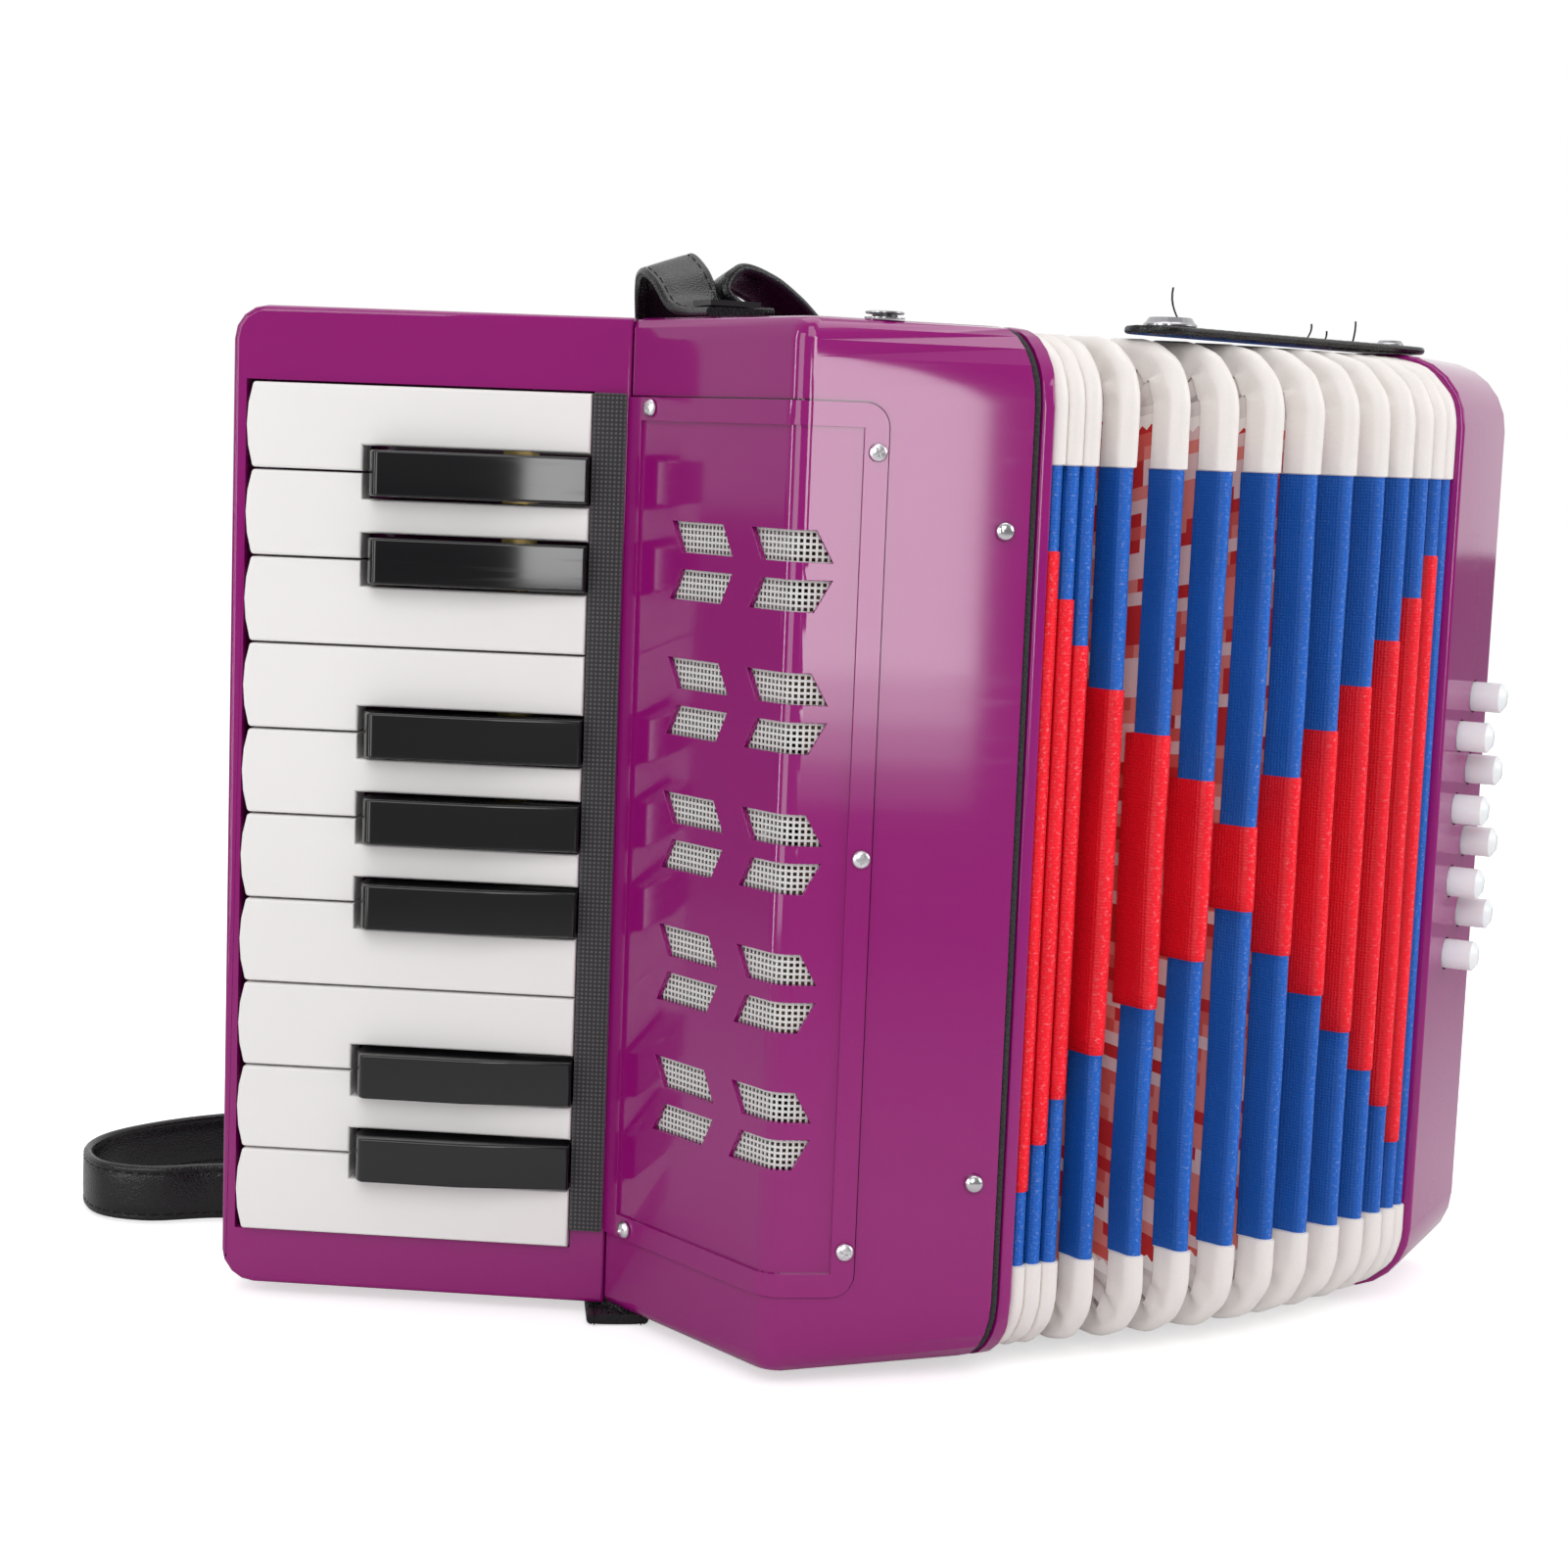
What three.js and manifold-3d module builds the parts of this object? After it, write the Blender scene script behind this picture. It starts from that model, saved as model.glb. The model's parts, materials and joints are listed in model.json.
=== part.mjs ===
// A small piano accordion with 17 treble keys and 8 bass buttons, standing upright with its bellows fanned.
// Millimetres, +Z up. In plan, +X runs along the bellows from the treble side, and +Y towards the player.
import * as THREE from "three";
import { mergeVertices } from "three/addons/utils/BufferGeometryUtils.js";
import Module from "manifold-3d";

const wasm = await Module();
wasm.setup();

// Sizes that the whole instrument shares
const bodyHeight = 220;
const wall = 2.5;
const clearance = 0.3;
const overrun = 2;
const roundSides = 20;
const smallSides = 10;

// Treble case in plan: three faces that turn round the front, and a flat back
const keyboardWidth = 88;
const keyboardAngle = -31.1;
const grilleWidth = 57.4;
const grilleAngle = -77.6;
const caseFrontWidth = 48.2;
const caseFrontAngle = -20;
const caseBackWidth = 41;
const housingDepth = 17;
const ridgeRadius = 6;
const ridgeEdge = 4;
const seamEdge = 2.4;
const backEdge = 6;

// Bellows frames, which give the case ends their outline
const frameDepth = 105;
const frameCorner = 16.3;
const frameRim = 3;
const frameRimWidth = 9;
const frameLip = 8;
const frameLipInset = 6.5;
const frameLipWidth = 6;
const gasketThickness = 2.2;
const gasketInset = 0.6;
const gasketWidth = 3.4;

// Bellows: a few shut folds beside the treble frame, then a fan of open ones
const shutFolds = 3;
const shutPitch = 4.3;
const fanFoldShares = [0.118, 0.105, 0.118, 0.114, 0.106, 0.104, 0.099, 0.082, 0.07, 0.045, 0.039];
const fanAngle = 36.2;
const bellowsReach = 117.6;
const bellowsAdvance = 13.2;
const foldPeakInset = 2;
const foldDepth = 16;
const foldValleyCorner = 5;
const foldCloth = 3;
const foldCornerSteps = 4;
const bellowsShut = 40;

// Feet moulded on the undersides
const footHeight = 3;
const footRadius = 5;
const trebleFootShares = [[-0.4, 0.33], [-0.9, 0.59], [-0.36, 0.88]];
const bassFootShares = [[0.28, 0.33], [0.73, 0.33], [0.5, 0.84]];

// Keyboard housing and its opening
const housingCorner = 7.5;
const keyWellMargin = 3.1;
const keysBottom = 13;
const keysTopMargin = 16.4;
const whiteKeys = 10;
const whitePitch = (bodyHeight - keysBottom - keysTopMargin) / whiteKeys;
const keyGap = 0.5;
const feltWidth = 7.2;
const feltEnd = 0.8;
const feltThickness = 1.3;
const feltEndMargin = 4;
const axleRadius = 1.25;
const axleBore = 1.7;
const axleSetback = 4;
const axleDepth = 8;
const axleEndMargin = 4;
const axleBossLength = 8.5;
const axleBossHalf = 3.4;

// Keys, in the housing's own directions: along it, and down into it
const whiteRise = 2.2;
const whiteBulge = 1.4;
const bulgeShares = [0.75, 0.5, 0.25];
const keyFrontGap = 0.6;
const keySkirt = 6;
const blackRise = 8;
const blackFront = 31.6;
const blackWidth = 10;
const blackFrontSlope = 2.2;
const blackFrontDrop = 1.6;
const blackSlopeReach = 32;
const blackFlatEnd = keyboardWidth - blackSlopeReach;
const blackRearDrop = 3;
const notchStart = 29.7;
const notchGap = 0.8;
const blackNotches = [1, 2, 4, 5, 6, 8, 9];
const leverWidth = 8;
const leverReach = 22;
const leverStart = keyboardWidth - leverReach;
const leverTop = 3.4;
const leverThickness = 6;
const barrelRadius = 4;
const armThickness = 4;
const armWidth = 5;
const palletLength = 22;
const palletWidth = 8.2;
const palletThickness = 4;
const palletShare = 0.45;

// Key springs, one strip with a leaf for each key
const keyLeafThickness = 0.6;
const keyLeafWidth = 4;
const keyLeafReach = 26;
const keyLeafLength = 24;
const keyLeafStart = keyboardWidth - keyLeafReach;
const keyLeafTip = keyLeafStart - keyLeafLength;
const keyStripWidth = 8;
const keyStripThickness = 0.8;
const keyStripFloorGap = 0.3;

// Soundboard and reeds inside the treble case
const boardThickness = 3;
const boardBack = { x: -50, y: 92 };
const boardFront = { x: -17, y: 9 };
const airSlotLength = 15;
const airSlotWidth = 5.6;
const reedBlockDepth = 15;
const reedBlockWidth = 24;
const reedBlockMargin = 14;
const reedSlotWidth = 2.4;
const reedSlotLength = 10;
const reedCellFloor = 2;

// Grille cover, which wraps round the ridge, and its openings
const coverBottom = 17.2;
const coverTopMargin = 17;
const coverTop = bodyHeight - coverTopMargin;
const coverWrap = 18.5;
const coverSink = 1.2;
const coverStand = 0.8;
const coverRim = 5;
const coverField = 0.7;
const coverRebate = 1.5;
const coverLedge = 4;
const grilleGroups = 5;
const groupLowMargin = 35.3;
const groupHighMargin = 34.3;
const lowestGroup = coverBottom + groupLowMargin;
const groupPitch = (coverTop - groupHighMargin - lowestGroup) / (grilleGroups - 1);
const chevronRise = 6.5;
const chevronSlant = 3.6;
const chevronGap = 3.6;
const innerChevronStart = 16.4;
const innerChevronWidth = 17.6;
const outerChevronStart = 43.6;
const outerChevronWidth = 18.4;
const meshThickness = 0.4;
const meshMargin = 1;

// Screws and pins
const screwHead = 2;
const screwHeadHeight = 1;
const headTopShare = 0.8;
const screwShank = 1.3;
const screwLength = 5.5;
const screwEdge = 2.3;
const seamScrewSetback = 8.6;
const ridgeScrewSetback = 9.9;
const pinHead = 2.1;
const pinHeadHeight = 1.6;
const pinShank = 1.2;
const pinLength = 8;
const pinSetback = 5;
const pinHeightShare = 0.81;

// Bass case and its mechanism, in the bass case's own directions
const bassDepth = 43.9;
const bassRim = 3.8;
const bassEdge = 3;
const bassEdgeShares = [0, 0.35, 0.7, 1];
const bassFrameInset = 4.3;
const bassFramePlate = 2.4;
const bassPlateWidth = 16;
const bassFrameLip = 4;
const bassLipWidth = 4.5;
const bassBoardPlace = 8;
const buttonCount = 8;
const buttonPitch = 8.67;
const buttonLift = 0.35;
const buttonMiddle = bodyHeight / 2 + buttonLift;
const innerColumn = 16.7;
const outerColumn = 27.9;
const buttonRadius = 3.55;
const buttonStand = 7.9;
const buttonDome = 1.4;
const domeRadiusShare = 0.6;
const domeDropShare = 0.25;
const buttonTail = 5.2;
const buttonHoleGap = 0.45;
const collarRadius = 4.7;
const collarThickness = 1.4;
const stemRadius = 2.2;
const stemEnd = 24;
const valveLength = 14;
const valveWidth = 6.2;
const valveThickness = 2.2;
const valveSlot = 3;
const bassReedLength = 24;
const bassReedMargin = 5;
const bassStripWidth = 8;
const bassStripPlace = 37;
const bassLeafThickness = 0.7;
const bassLeafWidth = 3.4;

// Straps
const strapThickness = 2.2;
const shoulderWidth = 14;
// A strap's stations: shares of the depth across and back, of the height, and of the strap's width above it,
// and then the direction of the strap's width
const level = [1, 0, 0];
const upright = [0, 0, 1];
const strapRouteShares = [
  [-0.419, 0.581, 1, 0.121, level],
  [-0.419, 0.676, 1, 0.129, level],
  [-0.431, 0.752, 1, 0.286, [0.99, 0, 0.1]],
  [-0.438, 0.819, 1, 0.729, [0.96, 0, 0.26]],
  [-0.438, 0.886, 1, 0.929, [0.94, 0, 0.32]],
  [-0.41, 0.971, 1, 0.714, [0.97, 0, 0.2]],
  [-0.377, 1.032, 1, -0.286, level],
  [-0.377, 1.034, 0.82, -0.029, level],
  [-0.39, 1.043, 0.5, 0, level],
  [-0.448, 1.086, 0.23, -0.043, [1, 0, 0.1]],
  [-0.59, 1.219, 0, 1.214, [0.9, 0, 0.4]],
  [-0.781, 1.419, 0, 0.571, [0.4, 0, 0.9]],
  [-0.99, 1.61, 0, 0.307, upright],
  [-1.181, 1.681, 0, 0.307, upright],
  [-1.333, 1.71, 0, 0.307, upright],
  [-1.419, 1.79, 0, 0.307, upright],
  [-1.424, 1.924, 0, 0.307, upright],
  [-1.352, 2.038, 0, 0.307, upright],
  [-1.2, 2.114, 0, 0.307, upright],
  [-1.01, 2.143, 0, 0.307, upright],
  [-0.743, 2.105, 0, 0.307, upright],
  [-0.514, 1.905, 0, 0.314, [0.2, 0, 1]],
  [-0.4, 1.581, 0, 0.214, [0.8, 0, 0.5]],
  [-0.4, 1.238, 0, -0.043, level],
  [-0.457, 0.99, 0, -0.114, level],
  [-0.533, 0.781, 0, -0.121, level],
  [-0.59, 0.629, 0, -0.121, level],
];
const strapCurlShares = [
  [-0.257, 0.781, 1, 0.186, [0, -1, 0.1]],
  [-0.324, 0.781, 1, 0.207, [0.1, -1, 0.15]],
  [-0.37, 0.786, 1, 0.457, [0.1, -1, 0.3]],
  [-0.333, 0.8, 1, 0.771, [0.2, -1, 0.4]],
  [-0.257, 0.819, 1, 0.657, [0.4, -0.9, 0.4]],
  [-0.181, 0.848, 1, 0.386, [0.5, -0.8, 0.3]],
  [-0.124, 0.876, 1, 0.164, [0.6, -0.8, 0.1]],
];
const curlShare = 0.8;
const handWidth = 32;
const handEnd = 26;
const handTab = 14;
const handBow = 24;
const handBowPower = 0.8;
const handSteps = 12;
const bellowsStrapWidth = 16;
const bellowsStrapThickness = 1.6;
const bellowsStrapAngle = -22.6;
const rivetPlace = { x: 6, y: 20 };
const rivetRadius = 3.2;
const rivetHeight = 1;
const snapReach = 75.8;
const snapRadius = 5.8;
const snapHeight = 1.8;
const snapBeyond = 2.5;
const socketRadius = 4.9;
const studRadius = 4.2;
const studBase = 0.7;
const studPost = 1.5;
const studPostRadius = 2.2;
const anchorLength = 9;
const anchorWidth = 12;
const anchorThickness = 1.2;

const turn = THREE.MathUtils.degToRad;
const quarter = Math.PI / 2;
const heading = (angle) => new THREE.Vector2(Math.cos(turn(angle)), Math.sin(turn(angle)));
const leftOf = (v) => new THREE.Vector2(-v.y, v.x);

// Places in plan that the sizes above fix, counted back from the treble frame's front edge at the origin
const caseEnd = frameRim + gasketThickness;
const frontCorner = new THREE.Vector2(-caseEnd, 0);
const ridge = frontCorner.clone().addScaledVector(heading(caseFrontAngle), -caseFrontWidth);
const seam = ridge.clone().addScaledVector(heading(grilleAngle), -grilleWidth);
const keyboardEnd = seam.clone().addScaledVector(heading(keyboardAngle), -keyboardWidth);
const bassFront = new THREE.Vector2(bellowsReach, bellowsAdvance);

// Colours as they show on the instrument
const finish = (color, roughness, metalness = 0) =>
  new THREE.MeshStandardMaterial({ color, roughness, metalness });
const purple = finish(0x8e2a74, 0.18);
const whitePlastic = finish(0xeceae8, 0.3);
const blackPlastic = finish(0x0b0b0d, 0.2);
const feltBlack = finish(0x17171a, 0.95);
const meshWhite = finish(0xe2ddd8, 0.8);
const steel = finish(0xb9bcc0, 0.3, 1);
const brass = finish(0xb59a5a, 0.4, 1);
const wood = finish(0xb98f5c, 0.7);
const foam = finish(0x151515, 0.9);
const bellowsBlue = finish(0x1456aa, 0.75);
const leatherette = finish(0x121213, 0.55);

// A closed three.js geometry as a solid that can be joined and cut
function solid(geometry) {
  const bare = geometry.clone();
  bare.deleteAttribute("normal");
  bare.deleteAttribute("uv");
  const merged = mergeVertices(bare, 1e-4);
  return new wasm.Manifold(
    new wasm.Mesh({
      numProp: 3,
      vertProperties: new Float32Array(merged.attributes.position.array),
      triVerts: new Uint32Array(merged.index.array),
    }),
  );
}

const join = (...pieces) => pieces.reduce((whole, piece) => whole.add(piece));
const cut = (whole, ...pieces) => pieces.reduce((left, piece) => left.subtract(piece), whole);

// The named mesh of a solid
function meshOf(name, body, material) {
  const mesh = body.getMesh();
  const geometry = new THREE.BufferGeometry();
  geometry.setAttribute("position", new THREE.BufferAttribute(mesh.vertProperties, 3));
  geometry.setIndex(new THREE.BufferAttribute(mesh.triVerts, 1));
  geometry.computeVertexNormals();
  const made = new THREE.Mesh(geometry, material);
  made.name = name;
  return made;
}

const shapeOf = (points) => new THREE.Shape(points.map((p) => new THREE.Vector2(p.x ?? p[0], p.y ?? p[1])));

function extruded(points, depth) {
  return new THREE.ExtrudeGeometry(shapeOf(points), { depth, bevelEnabled: false, steps: 1 });
}

// A plan outline raised from z0 to z1
const prism = (points, z0, z1) => solid(extruded(points, z1 - z0).translate(0, 0, z0));

// An outline drawn in x and z, as thick as y0 to y1
const slab = (points, y0, y1) => solid(extruded(points, y1 - y0).rotateX(quarter).translate(0, y1, 0));

// An outline drawn in y and z, as thick as x0 to x1
function slice(points, x0, x1) {
  const geometry = extruded(points, x1 - x0);
  const axes = new THREE.Matrix4().makeBasis(
    new THREE.Vector3(0, 1, 0),
    new THREE.Vector3(0, 0, 1),
    new THREE.Vector3(1, 0, 0),
  );
  return solid(geometry.applyMatrix4(axes).translate(x0, 0, 0));
}

function box(x0, x1, y0, y1, z0, z1) {
  const geometry = new THREE.BoxGeometry(x1 - x0, y1 - y0, z1 - z0);
  return solid(geometry.translate((x0 + x1) / 2, (y0 + y1) / 2, (z0 + z1) / 2));
}

const uprightRod = (x, y, radius, z0, z1, sides = roundSides) =>
  solid(
    new THREE.CylinderGeometry(radius, radius, z1 - z0, sides)
      .rotateX(quarter)
      .translate(x, y, (z0 + z1) / 2),
  );

// Height, and then a direction in plan and the way out of a wall, for shapes drawn on that wall
function onWall(origin, angle) {
  const run = heading(angle);
  const axes = new THREE.Matrix4().makeBasis(
    new THREE.Vector3(run.x, run.y, 0),
    new THREE.Vector3(0, 0, 1),
    new THREE.Vector3(run.y, -run.x, 0),
  );
  return axes.setPosition(origin.x, origin.y, 0);
}

// An outline drawn on a wall, cut from depth n0 to n1 along the wall's outward normal
const wallPrism = (frame, points, n0, n1) =>
  solid(extruded(points, n1 - n0).translate(0, 0, n0).applyMatrix4(frame));

// A turned piece that stands out of a wall: its profile holds radius and height pairs that close on the axis
function wallTurned(frame, along, height, profile, sides = smallSides) {
  const points = profile.map(([radius, out]) => new THREE.Vector2(radius, out));
  const geometry = new THREE.LatheGeometry(points, sides).rotateX(quarter);
  return solid(geometry.translate(along, height, 0).applyMatrix4(frame));
}

// A plan polygon with one corner replaced by an arc
function roundedCorner(before, corner, after, radius, steps) {
  const back = before.clone().sub(corner).normalize();
  const on = after.clone().sub(corner).normalize();
  const half = Math.acos(back.dot(on)) / 2;
  const middle = back.clone().add(on).normalize().multiplyScalar(radius / Math.sin(half)).add(corner);
  const start = back.clone().multiplyScalar(radius / Math.tan(half)).add(corner).sub(middle);
  const sweep = (Math.PI - 2 * half) * Math.sign(back.cross(on)) * -1;
  return Array.from({ length: steps + 1 }, (_, i) =>
    start.clone().rotateAround(new THREE.Vector2(), (sweep * i) / steps).add(middle),
  );
}

// A plan polygon, listed anticlockwise, with each side moved in by its own distance
function movedIn(points, distances) {
  const sides = points.map((p, i) => {
    const run = points[(i + 1) % points.length].clone().sub(p).normalize();
    return { run, at: p.clone().addScaledVector(leftOf(run), distances[i]) };
  });
  return sides.map((side, i) => {
    const last = sides[(i + sides.length - 1) % sides.length];
    const across = last.run.cross(side.run);
    const along = side.at.clone().sub(last.at).cross(side.run) / across;
    return last.at.clone().addScaledVector(last.run, along);
  });
}

// Rings of equal count joined into a closed skin with flat ends. Each runs anticlockwise seen from the last.
// A closed skin goes out and comes back, and its quads are split the same way on both sides of the wall.
function loft(rings, closed = false) {
  const count = rings[0].length;
  const vertices = rings.flat().flatMap((p) => [p.x, p.y, p.z]);
  const faces = [];
  const spans = closed ? rings.length : rings.length - 1;
  for (let r = 0; r < spans; r++) {
    const low = r * count;
    const high = ((r + 1) % rings.length) * count;
    for (let i = 0; i < count; i++) {
      const j = (i + 1) % count;
      const returning = closed && r >= rings.length / 2;
      if (returning) faces.push(low + i, low + j, high + i, low + j, high + j, high + i);
      else faces.push(low + i, low + j, high + j, low + i, high + j, high + i);
    }
  }
  if (!closed) {
    const last = (rings.length - 1) * count;
    for (let i = 1; i < count - 1; i++) {
      faces.push(0, i + 1, i, last, last + i, last + i + 1);
    }
  }
  const geometry = new THREE.BufferGeometry();
  geometry.setAttribute("position", new THREE.Float32BufferAttribute(vertices, 3));
  geometry.setIndex(faces);
  return solid(geometry);
}

// How far an edge of the given radius has drawn in at a depth below the face it meets
const drawnIn = (radius, depth) =>
  depth >= radius ? 0 : radius - Math.sqrt(radius * radius - (radius - depth) * (radius - depth));

// A plan outline raised from z0 to z1, with each corner's own edge radius at the top and the bottom
function softEdged(corners, z0, z1) {
  const largest = Math.max(...corners.map((c) => c.edge));
  const steps = 6;
  const depthAt = (i) => largest * (1 - Math.cos(quarter * (i / steps)));
  const depths = Array.from({ length: steps + 1 }, (_, i) => depthAt(i));
  const ring = (depth, z) =>
    corners.map((c) => {
      const inward = drawnIn(c.edge, depth);
      return new THREE.Vector3(c.at.x + c.inward.x * inward, c.at.y + c.inward.y * inward, z);
    });
  const rings = depths.map((depth) => ring(depth, z0 + depth));
  const upper = depths.map((depth) => ring(depth, z1 - depth)).reverse();
  return loft([...rings, ...upper]);
}

// The points of a rectangle with round corners, in its own two directions
function roundedRectangle(x0, x1, y0, y1, radius, steps = foldCornerSteps) {
  const centres = [
    [x1 - radius, y0 + radius],
    [x1 - radius, y1 - radius],
    [x0 + radius, y1 - radius],
    [x0 + radius, y0 + radius],
  ];
  return centres.flatMap(([x, y], corner) =>
    Array.from({ length: steps + 1 }, (_, i) => {
      const angle = quarter * (corner - 1 + i / steps);
      return new THREE.Vector2(x + radius * Math.cos(angle), y + radius * Math.sin(angle));
    }),
  );
}

// The frame outline in y and z, moved in all round
function frameOutline(inset, steps = 6) {
  const radius = Math.max(frameCorner - inset, foldValleyCorner);
  return roundedRectangle(inset, frameDepth - inset, inset, bodyHeight - inset, radius, steps);
}

const frameRing = (x0, x1, outer, inner) =>
  cut(slice(frameOutline(outer), x0, x1), slice(frameOutline(inner), x0 - overrun, x1 + overrun));

// Treble case: corners in plan, anticlockwise from the front of its open end
function treblePlan() {
  const away = new THREE.Vector2(0, 1);
  const outOf = heading(keyboardAngle);
  const seamStart = seam.clone().addScaledVector(outOf, clearance);
  const under = seamStart.clone().addScaledVector(leftOf(outOf), housingDepth);
  const backRight = new THREE.Vector2(-caseEnd, frameDepth);
  const backLeft = new THREE.Vector2(-caseEnd - caseBackWidth, frameDepth);
  const ridgeArc = roundedCorner(seamStart, ridge, frontCorner, ridgeRadius, 5);
  const slantIn = heading(grilleAngle + 90).add(heading(caseFrontAngle + 90)).normalize();
  return [
    { at: frontCorner, edge: frameCorner, inward: away },
    { at: backRight, edge: frameCorner, inward: new THREE.Vector2(0, -1) },
    { at: backLeft, edge: backEdge, inward: new THREE.Vector2(0, -1) },
    { at: under, edge: seamEdge, inward: outOf.clone() },
    { at: seamStart, edge: seamEdge, inward: heading(grilleAngle + 90) },
    ...ridgeArc.map((at) => ({ at, edge: ridgeEdge, inward: slantIn })),
  ];
}

// The room inside the treble case, moved in by the wall and open at the bellows end
function trebleRoom(gap, openEnd) {
  const plan = treblePlan();
  const distances = plan.map((corner, i) => (i === 0 ? -openEnd : gap));
  const points = movedIn(plan.map((corner) => corner.at), distances);
  const corners = points.map((at, i) => ({
    at,
    edge: Math.max(plan[i].edge - gap, clearance),
    inward: plan[i].inward,
  }));
  return softEdged(corners, gap, bodyHeight - gap);
}

// A strip of wall that follows the seam, the grille face and the ridge, between two depths out of the wall
function wrapOutline(start, wrap, low, high) {
  const begin = seam.clone().addScaledVector(heading(grilleAngle), start);
  const end = ridge.clone().addScaledVector(heading(caseFrontAngle), wrap);
  const path = [begin, ...roundedCorner(begin, ridge, end, ridgeRadius, 5), end];
  const normals = path.map((p, i) => {
    const from = path[Math.max(i - 1, 0)];
    const to = path[Math.min(i + 1, path.length - 1)];
    const run = to.clone().sub(from).normalize();
    return new THREE.Vector2(run.y, -run.x);
  });
  const side = (out) => path.map((p, i) => p.clone().addScaledVector(normals[i], out));
  return [...side(high), ...side(low).reverse()];
}

const foot = (x, y) => uprightRod(x, y, footRadius, -footHeight, wall / 2);

function trebleCase() {
  const shell = cut(softEdged(treblePlan(), 0, bodyHeight), trebleRoom(wall, overrun));
  const rebate = prism(
    wrapOutline(0, coverWrap + clearance, -coverRebate, overrun * 2),
    coverBottom - clearance,
    coverTop + clearance,
  );
  const opening = prism(
    wrapOutline(coverLedge, coverWrap - coverLedge, -wall - overrun, overrun),
    coverBottom + coverLedge,
    coverTop - coverLedge,
  );
  const leverPassage = new THREE.Matrix4().makeRotationZ(turn(keyboardAngle));
  leverPassage.setPosition(keyboardEnd.x, keyboardEnd.y, 0);
  const passage = box(
    keyboardWidth - wall,
    keyboardWidth + wall * 2,
    wall,
    housingDepth - wall,
    keysBottom - overrun,
    keysBottom + whiteKeys * whitePitch + overrun,
  ).transform(leverPassage.elements);
  const feet = trebleFootShares.map(([across, back]) =>
    foot(across * caseBackWidth - caseEnd, back * frameDepth),
  );
  const frames = [onWall(seam, grilleAngle), onWall(ridge, caseFrontAngle)];
  const holes = grilleScrewPlaces().map(([face, along, height]) =>
    wallTurned(frames[face], along, height, boreProfile(screwShank + clearance)),
  );
  const pinHoles = casePinPlaces().map(([frame, along, height]) =>
    wallTurned(frame, along, height, boreProfile(pinShank + clearance)),
  );
  return cut(join(shell, ...feet), rebate, opening, passage, ...holes, ...pinHoles);
}

const boreProfile = (radius) => [
  [0, -pinLength - overrun],
  [radius, -pinLength - overrun],
  [radius, overrun],
  [0, overrun],
];

// The cover's screws: face 0 is the grille face, 1 the case front; then the place along it and the height
function grilleScrewPlaces() {
  const low = coverBottom + ridgeScrewSetback;
  const high = coverTop - ridgeScrewSetback;
  const rimMiddle = coverWrap - screwEdge;
  const middle = (coverBottom + coverTop) / 2;
  return [
    [0, seamScrewSetback, coverBottom + screwEdge],
    [0, seamScrewSetback, coverTop - screwEdge],
    [1, rimMiddle, low],
    [1, rimMiddle, middle],
    [1, rimMiddle, high],
  ];
}

// The pins that hold the treble case to the bellows frame, two at the front and two at the back
function casePinPlaces() {
  const front = onWall(ridge, caseFrontAngle);
  const back = onWall(new THREE.Vector2(-caseEnd, frameDepth), 180);
  const low = bodyHeight * (1 - pinHeightShare);
  const high = bodyHeight * pinHeightShare;
  const along = caseFrontWidth - pinSetback;
  return [
    [front, along, low],
    [front, along, high],
    [back, pinSetback, low],
    [back, pinSetback, high],
  ];
}

function keyboardHousing() {
  const corner = roundedRectangle(0, keyboardWidth + housingCorner * 2, 0, bodyHeight, housingCorner);
  const block = slab(corner, 0, housingDepth);
  const end = keyboardWidth;
  const beyond = box(end, end + housingCorner * 3, -overrun, housingDepth + overrun, -overrun,
    bodyHeight + overrun);
  const inner = housingCorner - wall;
  const room = roundedRectangle(wall, end + housingCorner * 2, wall, bodyHeight - wall, inner);
  const inside = slab(room, wall, housingDepth - wall);
  const wellTop = keysBottom + whiteKeys * whitePitch + clearance;
  const rail = end - feltWidth - feltEnd;
  const well = box(keyWellMargin, rail, -overrun, wall + overrun, keysBottom - clearance, wellTop);
  const axle = end - axleSetback;
  const boss = (z0, z1) =>
    box(axle - axleBossHalf, end, wall / 2, axleDepth + axleBossHalf, z0, z1);
  const bore = uprightRod(axle, axleDepth, axleRadius + clearance, axleEndMargin - clearance,
    bodyHeight - axleEndMargin + clearance);
  const shell = cut(block, beyond, inside, well);
  const bosses = [
    boss(wall / 2, wall + axleBossLength),
    boss(bodyHeight - wall - axleBossLength, bodyHeight - wall / 2),
  ];
  return cut(join(shell, ...bosses), bore);
}

// Where a plan point lies in the housing's own directions
function inHousing(point) {
  const from = new THREE.Vector2(point.x, point.y).sub(keyboardEnd);
  return from.rotateAround(new THREE.Vector2(), -turn(keyboardAngle));
}

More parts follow.
